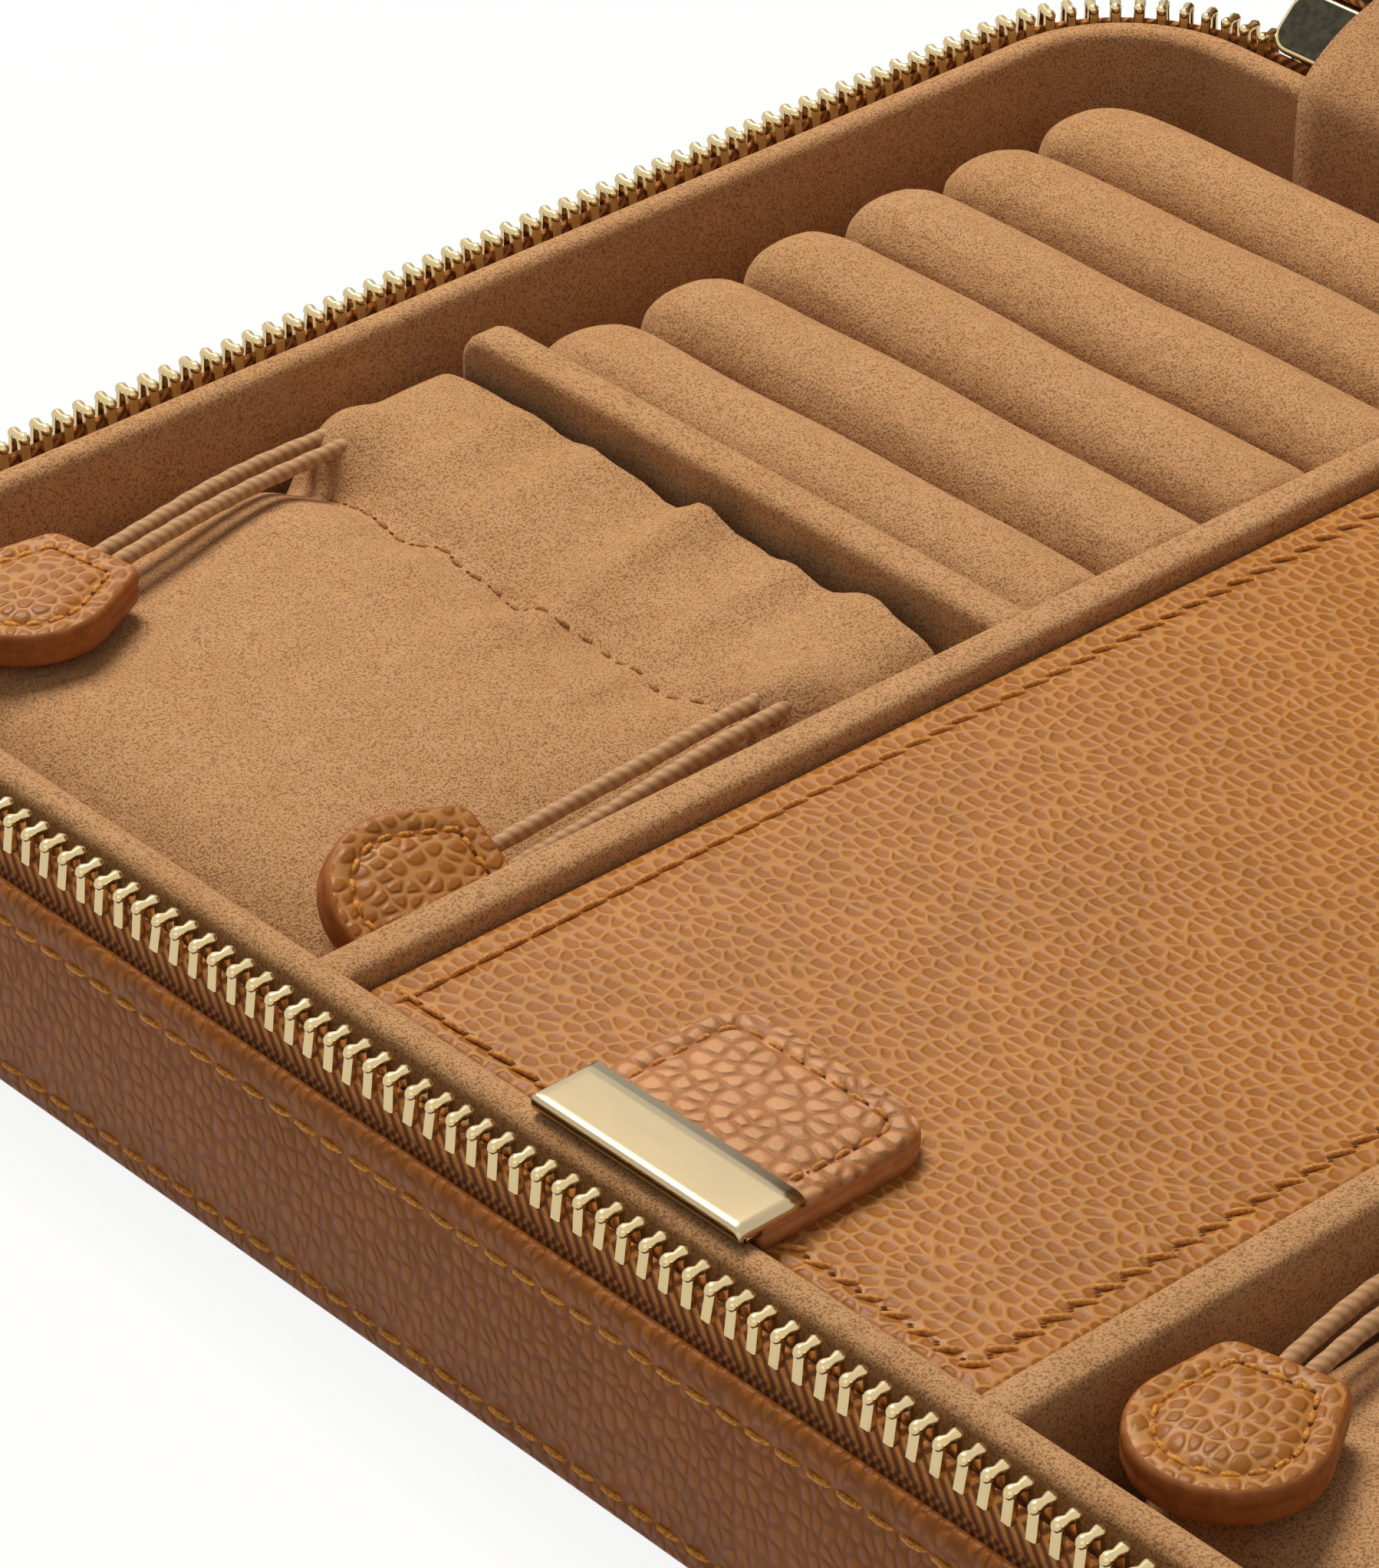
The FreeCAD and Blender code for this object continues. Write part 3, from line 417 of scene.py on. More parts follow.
def netPiece(name, net, materials, netMap=None, wrapRows=False, wrapCols=True, caps="firstRow lastRow",
             faceMaterial=None):
    # net is rows by columns of points; netMap has one more row or column where the net wraps
    net = np.asarray(net)
    rows, cols = net.shape[:2]
    if netMap is None:
        netMap = np.zeros((rows + 1, cols + 1, 2))
    faces = []
    corners = []
    marks = []
    for row in range(rows if wrapRows else rows - 1):
        for col in range(cols if wrapCols else cols - 1):
            quad = ((row, col), (row, col + 1), (row + 1, col + 1), (row + 1, col))
            faces.append([(r % rows) * cols + c % cols for r, c in quad])
            corners.extend(netMap[r, c] for r, c in quad)
            marks.append(faceMaterial(row, col) if faceMaterial else 0)
    ends = {"firstCol": [(r, 0) for r in range(rows)], "lastCol": [(r, cols - 1) for r in range(rows)],
            "firstRow": [(0, c) for c in range(cols)], "lastRow": [(rows - 1, c) for c in range(cols)]}
    for end in caps.split():
        faces.append([r * cols + c for r, c in ends[end]])
        corners.extend(netMap[r, c] for r, c in ends[end])
        marks.append(faceMaterial(*ends[end][0]) if faceMaterial else 0)
    return finishMesh(name, net.reshape(-1, 3), faces, materials, corners, marks)


def runs(points, closed=False):
    points = np.asarray(points, float)
    if closed:
        points = np.vstack([points, points[:1]])
    steps = np.linalg.norm(np.diff(points, axis=0), axis=1)
    return np.concatenate([[0.0], np.cumsum(steps)])


def placesAlong(points, run, wanted):
    return np.column_stack([np.interp(wanted, run, column) for column in np.asarray(points).T])


def unit(vectors):
    return vectors / np.linalg.norm(vectors, axis=-1, keepdims=True)


def evenAngles(count):
    return np.linspace(0, 2 * math.pi, count, endpoint=False)


def gridMap(across, down):
    return np.stack(np.meshgrid(across, down), -1)


def takeShape(piece):
    # what the piece's modifiers draw becomes its plain mesh
    solved = piece.evaluated_get(bpy.context.evaluated_depsgraph_get())
    before = piece.data
    after = bpy.data.meshes.new_from_object(solved)
    piece.modifiers.clear()
    piece.data = after
    bpy.data.meshes.remove(before)


def smoothLine(points, count, closed=False):
    # a uniform cubic B-spline that follows control points, ends kept
    points = np.asarray(points, float)
    if closed:
        padded = np.vstack([points[-1:], points, points[:2]])
        spans = len(points)
    else:
        padded = np.vstack([2 * points[:1] - points[1:2], points, 2 * points[-1:] - points[-2:-1]])
        spans = len(points) - 1
    along = np.linspace(0, spans, count, endpoint=not closed)
    index = np.minimum(along.astype(int), spans - 1)
    t = (along - index)[:, None]
    a, b, c, d = (padded[index + k] for k in range(4))
    return ((1 - t) ** 3 * a + (3 * t ** 3 - 6 * t ** 2 + 4) * b
            + (-3 * t ** 3 + 3 * t ** 2 + 3 * t + 1) * c + t ** 3 * d) / 6


# one tree for whatever repeats along a path: teeth, stitches, needle holes
def makeRowTree():
    tree = bpy.data.node_groups.new("rowAlongPath", "GeometryNodeTree")
    kinds = {"Path": "Geometry", "Shape": "Object", "Pitch": "Float", "Start": "Float", "Wobble": "Float",
             "Seed": "Int", "Finish": "Material"}
    names = {}
    for label, kind in kinds.items():
        socket = tree.interface.new_socket(label, in_out="INPUT", socket_type="NodeSocket" + kind)
        names[label] = socket.identifier
    tree.interface.new_socket("Row", in_out="OUTPUT", socket_type="NodeSocketGeometry")
    given = addNode(tree, "NodeGroupInput").outputs
    curve = addNode(tree, "GeometryNodeMeshToCurve", {"Mesh": given["Path"]}).outputs["Curve"]
    total = addNode(tree, "GeometryNodeCurveLength", {"Curve": curve}).outputs["Length"]
    trimmed = addNode(tree, "GeometryNodeTrimCurve", {"Curve": curve}, mode="LENGTH")
    for label, far in (("Start", given["Start"]), ("End", total)):
        shown = [socket for socket in trimmed.inputs if socket.name == label and socket.enabled]
        tree.links.new(far, shown[-1])
    spots = addNode(tree, "GeometryNodeCurveToPoints", {
        "Curve": trimmed.outputs["Curve"], "Length": given["Pitch"]}, mode="LENGTH")
    above = addNode(tree, "GeometryNodeInputNamedAttribute", {"Name": "above"},
                    data_type="FLOAT_VECTOR").outputs[0]
    ahead = addNode(tree, "FunctionNodeAlignRotationToVector", {"Vector": spots.outputs["Tangent"]}, axis="X")
    upright = addNode(tree, "FunctionNodeAlignRotationToVector", {
        "Rotation": ahead.outputs[0], "Vector": above}, axis="Z", pivot_axis="X")
    lowest = vectorWork(tree, "SCALE", (-1.0, -1.0, -1.0), scale=given["Wobble"])
    highest = vectorWork(tree, "SCALE", (1.0, 1.0, 1.0), scale=given["Wobble"])
    chance = addNode(tree, "FunctionNodeRandomValue", {"Min": lowest, "Max": highest, "Seed": given["Seed"]},
                     data_type="FLOAT_VECTOR").outputs[0]
    nudge = addNode(tree, "FunctionNodeEulerToRotation", {"Euler": chance}).outputs[0]
    turned = addNode(tree, "FunctionNodeRotateRotation", {"Rotation": upright.outputs[0], "Rotate By": nudge},
                     rotation_space="LOCAL").outputs[0]
    shape = addNode(tree, "GeometryNodeObjectInfo", {"Object": given["Shape"]}).outputs["Geometry"]
    copies = addNode(tree, "GeometryNodeInstanceOnPoints", {
        "Points": spots.outputs["Points"], "Instance": shape, "Rotation": turned}).outputs["Instances"]
    whole = addNode(tree, "GeometryNodeRealizeInstances", {"Geometry": copies}).outputs["Geometry"]
    coated = addNode(tree, "GeometryNodeSetMaterial", {"Geometry": whole, "Material": given["Finish"]})
    leaving = addNode(tree, "NodeGroupOutput")
    tree.links.new(coated.outputs["Geometry"], leaving.inputs["Row"])
    return tree, names


rowTree, rowSockets = makeRowTree()


def rowPiece(name, pathPoints, above, shape, pitch, material, wobble, seed, start=0.0, closed=False):
    # pathPoints in millimetres, above the direction away from the surface at each
    mesh = bpy.data.meshes.new(name)
    count = len(pathPoints)
    edges = [(index, index + 1) for index in range(count - 1)] + ([(count - 1, 0)] if closed else [])
    mesh.from_pydata((np.asarray(pathPoints) * mm).tolist(), edges, [])
    away = mesh.attributes.new("above", "FLOAT_VECTOR", "POINT")
    away.data.foreach_set("vector", np.broadcast_to(np.asarray(above, float), (count, 3)).ravel())
    piece = addObject(name, mesh)
    modifier = piece.modifiers.new("row", "NODES")
    modifier.node_group = rowTree
    values = {"Shape": shape, "Pitch": pitch * mm, "Start": start * mm, "Wobble": wobble, "Seed": seed,
              "Finish": material}
    for label, value in values.items():
        modifier[rowSockets[label]] = value
    takeShape(piece)
    piece.data.name = name
    left = piece.data.attributes.get("above")
    if left:
        piece.data.attributes.remove(left)
    return piece


def ringFaces(count, sides, first=0):
    # quads between rings of points that follow one another, then both ends
    faces = []
    last = first + (count - 1) * sides
    for start in range(first, last, sides):
        for k in range(sides):
            after = (k + 1) % sides
            faces.append((start + k, start + after, start + sides + after, start + sides + k))
    return faces + [tuple(range(first, first + sides)), tuple(range(last, last + sides))]


def beadShape(name, rings, sides, squash=1.0):
    # a closed bead along X: rings of (x, radius, lift)
    points = []
    for x, radius, lift in rings:
        for angle in evenAngles(sides):
            points.append((x, radius * math.cos(angle), lift + squash * radius * math.sin(angle)))
    piece = finishMesh(name, points, ringFaces(len(rings), sides), [])
    scene.collection.objects.unlink(piece)
    return piece


# stitches as (long, thick, dip into the leather), and needle holes
stitchSizes = {"longStitch": (2.9, 0.3, 0.3), "shortStitch": (1.65, 0.28, 0.3)}
stitchWobble = 0.06
stitchSeed = 3
holeSizes = {"half": 0.26, "radius": 0.2, "end": 0.08, "lift": 0.015, "flat": 0.12}


def stitchShape(name):
    long, thick, dip = stitchSizes[name]
    half = long / 2
    return beadShape(name, [(-half, 0.45 * thick, -dip), (-0.72 * half, 0.9 * thick, -0.25 * dip),
                            (0, thick, 0.1 * dip), (0.72 * half, 0.9 * thick, -0.25 * dip),
                            (half, 0.45 * thick, -dip)], 6)


def holeShape(name, sizes):
    half, end = sizes["half"], sizes["end"]
    return beadShape(name, [(-half, end, 0.0), (0.0, sizes["radius"], sizes["lift"]), (half, end, 0.0)], 8,
                     sizes["flat"])


longStitch = stitchShape("longStitch")
shortStitch = stitchShape("shortStitch")
pinHole = holeShape("pinHole", holeSizes)


def sewnRow(name, points, above, body, slot, thread, shape, pitch, closed=False):
    # thread stitches with a needle hole between each two, the hole a flat dark lens of painted shade
    rows = [(name, shape, thread, 0.0, stitchWobble), (name + "Holes", pinHole, needleHoleShade, pitch / 2, 0.0)]
    for label, bead, finish, start, wobble in rows:
        piece = rowPiece(label, points, above, bead, pitch, finish, wobble, stitchSeed, start, closed)
        belongs(piece, body, slot)


# the case's rounded outline as stations: a centre and an outward direction, so any inset lines up
caseSizes = {"corner": 22.3, "cornerSteps": 14, "stationStep": 4.0, "parting": 26.2, "lidTall": 20.0,
             "lidOpen": 100.0}
wallHigh = nodeBox("base_side_wall")[1]
caseHalf = wallHigh[:2]
foldTop = wallHigh[2]
partingHeight = caseSizes["parting"]
hingePoint = np.array([0.0, wallHigh[1], partingHeight])
lidOpen = math.radians(caseSizes["lidOpen"])


def caseStations(gapHalf):
    corner = caseSizes["corner"]
    steps = caseSizes["cornerSteps"]
    cx, cy = caseHalf - corner
    marks = [((-gapHalf, cy), (0.0, 1.0))]
    for x, y, first in ((-cx, cy, 90), (-cx, -cy, 180), (cx, -cy, 270), (cx, cy, 360)):
        for step in range(steps + 1):
            angle = math.radians(first + 90 * step / steps)
            marks.append(((x, y), (math.cos(angle), math.sin(angle))))
    marks.append(((gapHalf, cy), (0.0, 1.0)))
    centres = [marks[0][0]]
    outward = [marks[0][1]]
    for (fromCentre, _), (toCentre, toNormal) in zip(marks, marks[1:]):
        span = math.dist(fromCentre, toCentre)
        parts = max(1, round(span / caseSizes["stationStep"]))
        for part in range(1, parts + 1):
            share = part / parts
            centres.append(tuple((1 - share) * np.array(fromCentre) + share * np.array(toCentre)))
            outward.append(toNormal)
    return np.array(centres), np.array(outward)


def stationPoints(stations, inset, height):
    centres, outward = stations
    flat = centres + outward * (caseSizes["corner"] - np.asarray(inset, float).reshape(-1, 1))
    return np.column_stack([flat, np.broadcast_to(height, len(flat))])


def toLid(points):
    # a base-half point mirrored into the closed lid and swung open about the spine
    moved = np.array(points, float)
    moved[..., 2] = 2 * partingHeight - moved[..., 2]
    return swungOpen(moved)


def swungOpen(points):
    offset = np.asarray(points, float) - hingePoint
    turned = offset.copy()
    turned[..., 1] = offset[..., 1] * math.cos(lidOpen) + offset[..., 2] * math.sin(lidOpen)
    turned[..., 2] = -offset[..., 1] * math.sin(lidOpen) + offset[..., 2] * math.cos(lidOpen)
    return turned + hingePoint


def lidDirection(vectors):
    flipped = np.asarray(vectors, float) * (1, 1, -1)
    return swungOpen(flipped + hingePoint) - hingePoint


ringStations = caseStations(0.0)
ringStations = (ringStations[0][:-1], ringStations[1][:-1])


# leather side walls: turned fold at the rim, two sewn rows, soft bottom edge
wallSizes = {"seamHigh": 17.6, "seamLow": 2.4, "thick": 1.6, "pitch": 3.3, "groove": 0.14}


def wallProfile(low):
    thick = wallSizes["thick"]
    groove = wallSizes["groove"]
    profile = [(0.7, low), (0.25, low + 0.12), (0.0, low + 0.55)]
    for seam in (low + wallSizes["seamLow"], wallSizes["seamHigh"]):
        profile += [(0.0, seam - 0.6), (0.6 * groove, seam - 0.22), (groove, seam),
                    (0.6 * groove, seam + 0.22), (-0.03, seam + 0.6)]
    profile += [(-0.08, foldTop - 1.9), (-0.06, foldTop - 1.1), (0.06, foldTop - 0.55),
                (0.32, foldTop - 0.18), (0.72, foldTop), (1.12, foldTop - 0.12), (1.42, foldTop - 0.5),
                (thick, foldTop - 1.1), (thick, foldTop - 4.0), (thick, low + 2.0), (1.2, low)]
    return profile


def sideWall(name, low, node, body, place):
    profile = wallProfile(low)
    net = np.array([place(stationPoints(ringStations, inset, height)) for inset, height in profile])
    netMap = gridMap(runs(stationPoints(ringStations, 0, 0), True), runs(profile, True))
    piece = netPiece(name, net, [caseLeather], netMap, wrapRows=True, caps="")
    belongs(piece, body, "case_leather", node)
    away = np.column_stack([ringStations[1], np.zeros(len(ringStations[1]))])
    if place is toLid:
        away = lidDirection(away)
    for label, seam in (("HighSeam", wallSizes["seamHigh"]), ("LowSeam", low + wallSizes["seamLow"])):
        line = place(stationPoints(ringStations, wallSizes["groove"] - 0.12, seam))
        sewnRow(name + label, line, away, body, "case_leather", goldThread, longStitch,
                wallSizes["pitch"], True)


def straight(points):
    return points


lidWallLow = partingHeight - caseSizes["lidTall"]
sideWall("baseSideWall", 0.0, "base_side_wall", "base", straight)
sideWall("lidSideWall", lidWallLow, "lid_side_wall", "lid", toLid)
print("stage: leather side walls sewn")


# zip: woven tape that leans in from the fold, and teeth clamped along its corded edge
zipSizes = {"pitch": 2.45, "teeth": 24.15, "gapHalf": 102.7, "tapeGapHalf": 91.5, "inset": 3.3, "top": 23.9,
            "tapeThick": 0.7, "wave": 0.22, "swayIn": 0.6, "swayUp": 0.2, "wobble": 0.05, "seed": 7}
toothSizes = {"headHigh": 1.24, "headSides": 8, "legHalf": 0.53, "legEase": 0.14}


def zipWave(stations):
    run = runs(stationPoints(stations, 0, 0))
    return zipSizes["wave"] * (np.sin(run / 17.0 + 0.6) + 0.6 * np.sin(run / 7.3 + 2.0))


def zipTape(name, node, body, place):
    stations = caseStations(zipSizes["tapeGapHalf"])
    wave = zipWave(stations)
    thick = zipSizes["tapeThick"]
    edge = zipSizes["inset"]
    outer = [(edge - 0.55, 10.0), (1.95, 15.0), (1.78, 18.0), (1.82, 19.4), (2.15, 20.8), (2.6, 22.1),
             (edge - 0.42, 23.2), (edge - 0.36, zipSizes["top"] - 0.15)]
    inner = [(inset + thick, height) for inset, height in outer[::-1]]
    profile = outer + [(edge, zipSizes["top"] + 0.15)] + inner
    net = []
    for inset, height in profile:
        share = np.clip((height - 18.0) / 5.0, 0, 1)    # the wave grows towards the tape's free edge
        swayed = inset + zipSizes["swayIn"] * share * wave
        net.append(place(stationPoints(stations, swayed, height + zipSizes["swayUp"] * share * wave)))
    netMap = gridMap(runs(stationPoints(stations, edge, 0)), runs(profile, True))
    piece = netPiece(name, net, [zipCloth], netMap, True, False, "firstCol lastCol")
    belongs(piece, body, "zip_tape", node)


def toothShape():
    # two flat legs astride the tape and a two-lobed head across it, X along the zip, Y across it
    rings = [(-1.34, 0.2), (-1.13, 0.5), (-0.7, 0.64), (0.0, 0.42), (0.7, 0.64), (1.13, 0.5), (1.34, 0.2)]
    legs = [(-1.5, 0.7, 1.22), (-1.42, 0.6, 1.34), (1.35, 0.4, 1.0)]
    sides = toothSizes["headSides"]
    half = toothSizes["legHalf"]
    ease = toothSizes["legEase"]
    points = []
    for y, radius in rings:
        for angle in evenAngles(sides) + math.pi / sides:
            points.append((radius * math.cos(angle), y, toothSizes["headHigh"] + radius * math.sin(angle)))
    faces = ringFaces(len(rings), sides)
    for side in (-1, 1):
        faces += ringFaces(len(legs), 6, len(points))
        for z, near, far in legs:
            for x, y in ((-half, near), (half, near), (half, far - ease), (half - ease, far),
                         (ease - half, far), (-half, far - ease)):
                points.append((x, side * y, z))
    piece = finishMesh("zipTooth", points, faces, [])
    rounded = (len(rings) - 1) * sides    # only the head is smooth
    piece.data.polygons.foreach_set("use_smooth", [index < rounded for index in range(len(faces))])
    scene.collection.objects.unlink(piece)
    return piece


zipTooth = toothShape()


def zipChain(name, node, body, place, direction):
    stations = caseStations(zipSizes["gapHalf"])
    wave = zipWave(stations)
    inset = zipSizes["inset"] + zipSizes["swayIn"] * wave
    line = place(stationPoints(stations, inset, zipSizes["teeth"] + zipSizes["swayUp"] * wave))
    piece = rowPiece(name, line, direction, zipTooth, zipSizes["pitch"], toothGold, zipSizes["wobble"],
                     zipSizes["seed"])
    belongs(piece, body, "zip_metal", node)


for body, place, direction in (("base", straight, (0, 0, 1)), ("lid", toLid, lidDirection([(0, 0, 1)])[0])):
    zipTape(body + "ZipTape", body + "_zip_tape", body, place)
    zipChain(body + "ZipTeeth", body + "_zip_chain", body, place, direction)
print("stage: zip made")


# zip slider: two rounded plates on a neck, leaning out over the end of the tape, and its hanging puller
sliderSizes = {"foot": (-96.7, 90.7, 23.8), "tilt": 45.0, "long": 10.0, "tall": 7.0, "plate": 1.0,
               "thick": 4.4, "corner": 2.2, "bevel": 0.32, "neck": 3.0, "faceInset": 0.45, "faceThick": 0.2,
               "bailReach": 2.2, "bailWire": 1.2, "bailSpan": 7.0, "bailBend": 1.0}
pullerSizes = {"barrel": 2.8, "play": 0.3, "wide": 6.0, "long": 20.0, "thick": 1.4, "neck": 4.0}


def roundedSlab(name, wide, tall, thick, corner, bevel, materials, place):
    # a rounded plate in X and Z, with softened rims, its middle plane at Y 0
    outline = []
    for x, z, first in ((wide / 2 - corner, tall - corner, 0), (-wide / 2 + corner, tall - corner, 90),
                        (-wide / 2 + corner, corner, 180), (wide / 2 - corner, corner, 270)):
        for step in range(7):
            angle = math.radians(first + 15 * step)
            outline.append((x, z, math.cos(angle), math.sin(angle)))
    outline = np.array(outline)
    half = thick / 2
    levels = [(half - bevel, corner), (half - 0.3 * bevel, corner - 0.3 * bevel), (half, corner - bevel),
              (half, corner - 1.6 * bevel)]
    levels = [(-y, radius) for y, radius in levels[::-1]] + levels
    net = []
    for y, radius in levels:
        flat = outline[:, :2] + radius * outline[:, 2:]
        net.append(place(np.column_stack([flat[:, 0], np.full(len(flat), y), flat[:, 1]])))
    return netPiece(name, net, materials)


def leaned(points, shift=0.0):
    points = np.array(points, float)
    points[:, 1] += shift
    tilt = math.radians(sliderSizes["tilt"])
    y = points[:, 1] * math.cos(tilt) + points[:, 2] * math.sin(tilt)
    z = -points[:, 1] * math.sin(tilt) + points[:, 2] * math.cos(tilt)
    return np.column_stack([points[:, 0], y, z]) + np.array(sliderSizes["foot"])


def joinPieces(name, parts):
    whole = bmesh.new()
    for part in parts:
        whole.from_mesh(part.data)
    mesh = bpy.data.meshes.new(name)
    whole.to_mesh(mesh)
    whole.free()
    for material in parts[0].data.materials:
        mesh.materials.append(material)
    for part in parts:
        bpy.data.objects.remove(part)
    return addObject(name, mesh)


def tubePiece(name, line, radius, material, sides=12):
    # a round bar along a line of points that lies in one plane
    line = np.asarray(line, float)
    level = unit(np.cross(line[1] - line[0], line[-1] - line[len(line) // 2]))
    angles = evenAngles(sides)[:, None]
    net = []
    for point, way in zip(line, unit(np.gradient(line, axis=0))):
        other = np.cross(way, level)
        net.append(point + radius * (np.cos(angles) * level + np.sin(angles) * other))
    return netPiece(name, net, [material])


def makeSlider():
    sizes = sliderSizes
    offset = (sizes["thick"] - sizes["plate"]) / 2
    parts = []
    for label, shift in (("sliderOuter", offset), ("sliderInner", -offset)):
        parts.append(roundedSlab(label, sizes["long"], sizes["tall"], sizes["plate"], sizes["corner"],
                                 sizes["bevel"], [toothGold],
                                 lambda points, shift=shift: leaned(points, shift)))
    parts.append(roundedSlab("sliderNeck", sizes["neck"], sizes["tall"] - 0.4, sizes["thick"] - 0.4, 0.8, 0.2,
                             [toothGold], leaned))
    half = sizes["bailSpan"] / 2 - sizes["bailWire"] / 2
    rise = sizes["tall"] / 2
    reach = sizes["thick"] / 2 + sizes["bailReach"]
    bend = sizes["bailBend"]
    bail = [(-half, sizes["thick"] / 2 - 0.5, rise), (-half, reach - bend, rise),
            (-half + 0.3, reach - 0.3, rise), (-half + bend, reach, rise)]
    bail += [(-x, y, z) for x, y, z in bail[::-1]]
    parts.append(tubePiece("sliderBail", leaned(bail), sizes["bailWire"] / 2, toothGold))
    slider = joinPieces("zipSlider", parts)
    belongs(slider, "base", "zip_metal", "zip_slider")
    inset = sizes["faceInset"]
    # dark grey face plates: partly the slider's own dark finish, partly painted shade where the slider sits
    # in shade by the hinge
    for label, shift in (("sliderOuterFace", sizes["thick"] / 2), ("sliderInnerFace", -sizes["thick"] / 2)):
        face = roundedSlab(label, sizes["long"] - 2 * inset, sizes["tall"] - 2 * inset, sizes["faceThick"],
                           1.9, 0.08, [sliderGrey],
                           lambda points, shift=shift: leaned(points + np.array([0, 0, inset]), shift))
        belongs(face, "base", "zip_metal")
    return leaned([[0.0, reach, rise]])[0]


def makePuller(centre):
    sizes = pullerSizes
    long = sliderSizes["bailSpan"] - 2 * sliderSizes["bailWire"] - 2 * sizes["play"]
    barrelLine = [centre + np.array([x, 0, 0]) for x in np.linspace(-long / 2, long / 2, 6)]
    angles = evenAngles(20)
    net = []
    hole = sliderSizes["bailWire"] / 2 + sizes["play"]
    for radius, line in ((sizes["barrel"] / 2, barrelLine), (hole, barrelLine[::-1])):
        ring = np.column_stack([0 * angles, radius * np.cos(angles), radius * np.sin(angles)])
        net += [point + ring for point in line]
    barrel = netPiece("pullerBarrel", net, [toothGold], wrapRows=True, caps="")

    def hang(points):
        return points * (1, 1, -1) + centre

    neck = roundedSlab("pullerNeck", long, sizes["neck"], sizes["thick"], 0.4, 0.2, [toothGold],
                       lambda points: hang(points + np.array([0, 0, sizes["barrel"] / 2 - 0.3])))
    tongueTop = sizes["barrel"] / 2 + 1.1
    tongue = roundedSlab("pullerTongue", sizes["wide"], sizes["long"] - tongueTop, sizes["thick"], 2.7, 0.3,
                         [toothGold], lambda points: hang(points + np.array([0, 0, tongueTop])))
    puller = joinPieces("zipPuller", [barrel, neck, tongue])
    belongs(puller, "puller", "zip_metal", "zip_puller")


makePuller(makeSlider())
print("stage: slider and puller made")


# solids that stay as built: tray, cross divider, ring bed, strip, ledge, lid lining, boards, zip end stop
keptSolids = [
    (suede, "tray_floor tray_wall cross_divider_right ring_bed inner_lid_hinge lid_ledge lid_lining_wall"
            " lid_lining_board inner_lid_board"),
    # the boards are coloured dark, partly as painted shade for the shadowed gap between the tray wall and the
    # zip, where they show
    (fibreBoard, "base_stiffener lid_stiffener"),
    (toothGold, "zip_end_stop"),
]
for material, nodes in keptSolids:
    for node in nodes.split():
        solid = bpy.data.objects[node].data
        solid.materials.clear()
        solid.materials.append(material)


# suede-wrapped bars: the ring bar has a rounded free end, and other ends run into what holds them
barSizes = {"endRound": 3.2, "barTop": 0.9, "dividerTop": 0.8, "dividerEnd": 1.4, "back": 1.0, "into": 2.5,
            "intoWall": 1.4}


def suedeBar(name, node, axis, before, after, endRound, topRound):
    # a bar along X (axis 0) or Y (axis 1), run on by so much before and after its solid
    low, high = nodeBox(node)
    low[axis] -= before
    high[axis] += after
    start = np.array([*(low + high)[:2] / 2, low[2]])
    across = 1 - axis
    size = high - low

    def place(points):
        return points[:, [axis, across, 2]] + start

    piece = roundedSlab(name, size[axis], size[2], size[across], endRound, topRound, [suede], place)
    belongs(piece, "base", "suede", node)


suedeBar("ringBar", "ring_bar", 0, -barSizes["back"], barSizes["into"], barSizes["endRound"],
         barSizes["barTop"])
for name, node in (("dividerLeft", "divider_left"), ("dividerRight", "divider_right")):
    suedeBar(name, node, 1, barSizes["intoWall"], 0.0, barSizes["dividerEnd"], barSizes["dividerTop"])


# ring rolls: stuffed suede fingers, a little flattened where they press together
rollSizes = {"squareness": 2.35, "endRound": 8.0, "startBack": 4.6, "endSag": 0.9, "tuck": 1.2,
             "girth": 41.0, "sides": 40, "uneven": 0.16, "fill": 0.85, "slack": 0.5, "faces": 1.8,
             "pressure": 3.0, "reach": 0.6, "frames": 20, "sewnLow": 2.5, "sewnEnd": 0.8}


def stuffed(piece, sewn, sizes):
    # cloth with even faces, pushed out by its filling while the sewn places hold still
    even = piece.modifiers.new("evenFaces", "REMESH")
    even.mode = "VOXEL"
    even.voxel_size = sizes["faces"] * mm
    even.use_smooth_shade = True
    takeShape(piece)
    start = np.array([tuple(vertex.co) for vertex in piece.data.vertices])
    group = piece.vertex_groups.new(name="sewn")
    group.add([index for index, place in enumerate(start / mm) if sewn(place)], 1.0, "REPLACE")
    cloth = piece.modifiers.new("filling", "CLOTH")
    cloth.settings.vertex_group_mass = "sewn"
    cloth.settings.use_pressure = True
    cloth.settings.uniform_pressure_force = sizes["pressure"]
    cloth.settings.effector_weights.gravity = 0.0
    cloth.collision_settings.use_collision = False
    for step in range(1, sizes["frames"] + 1):
        scene.frame_set(step)
    solved = piece.evaluated_get(bpy.context.evaluated_depsgraph_get())
    moved = np.array([tuple(vertex.co) for vertex in solved.data.vertices]) - start
    size = np.linalg.norm(moved, axis=1)[:, None]
    moved *= np.minimum(1.0, sizes["reach"] * mm / np.maximum(size, 1e-9))
    piece.modifiers.clear()
    piece.vertex_groups.clear()
    piece.data.vertices.foreach_set("co", (start + moved).ravel())
    scene.frame_set(1)
    rounder = piece.modifiers.new("rounder", "SUBSURF")
    rounder.levels = 1
    takeShape(piece)
    print("stuffed", piece.name, "pushed out by", round(float(size.mean()) / mm, 2), "mm on average")


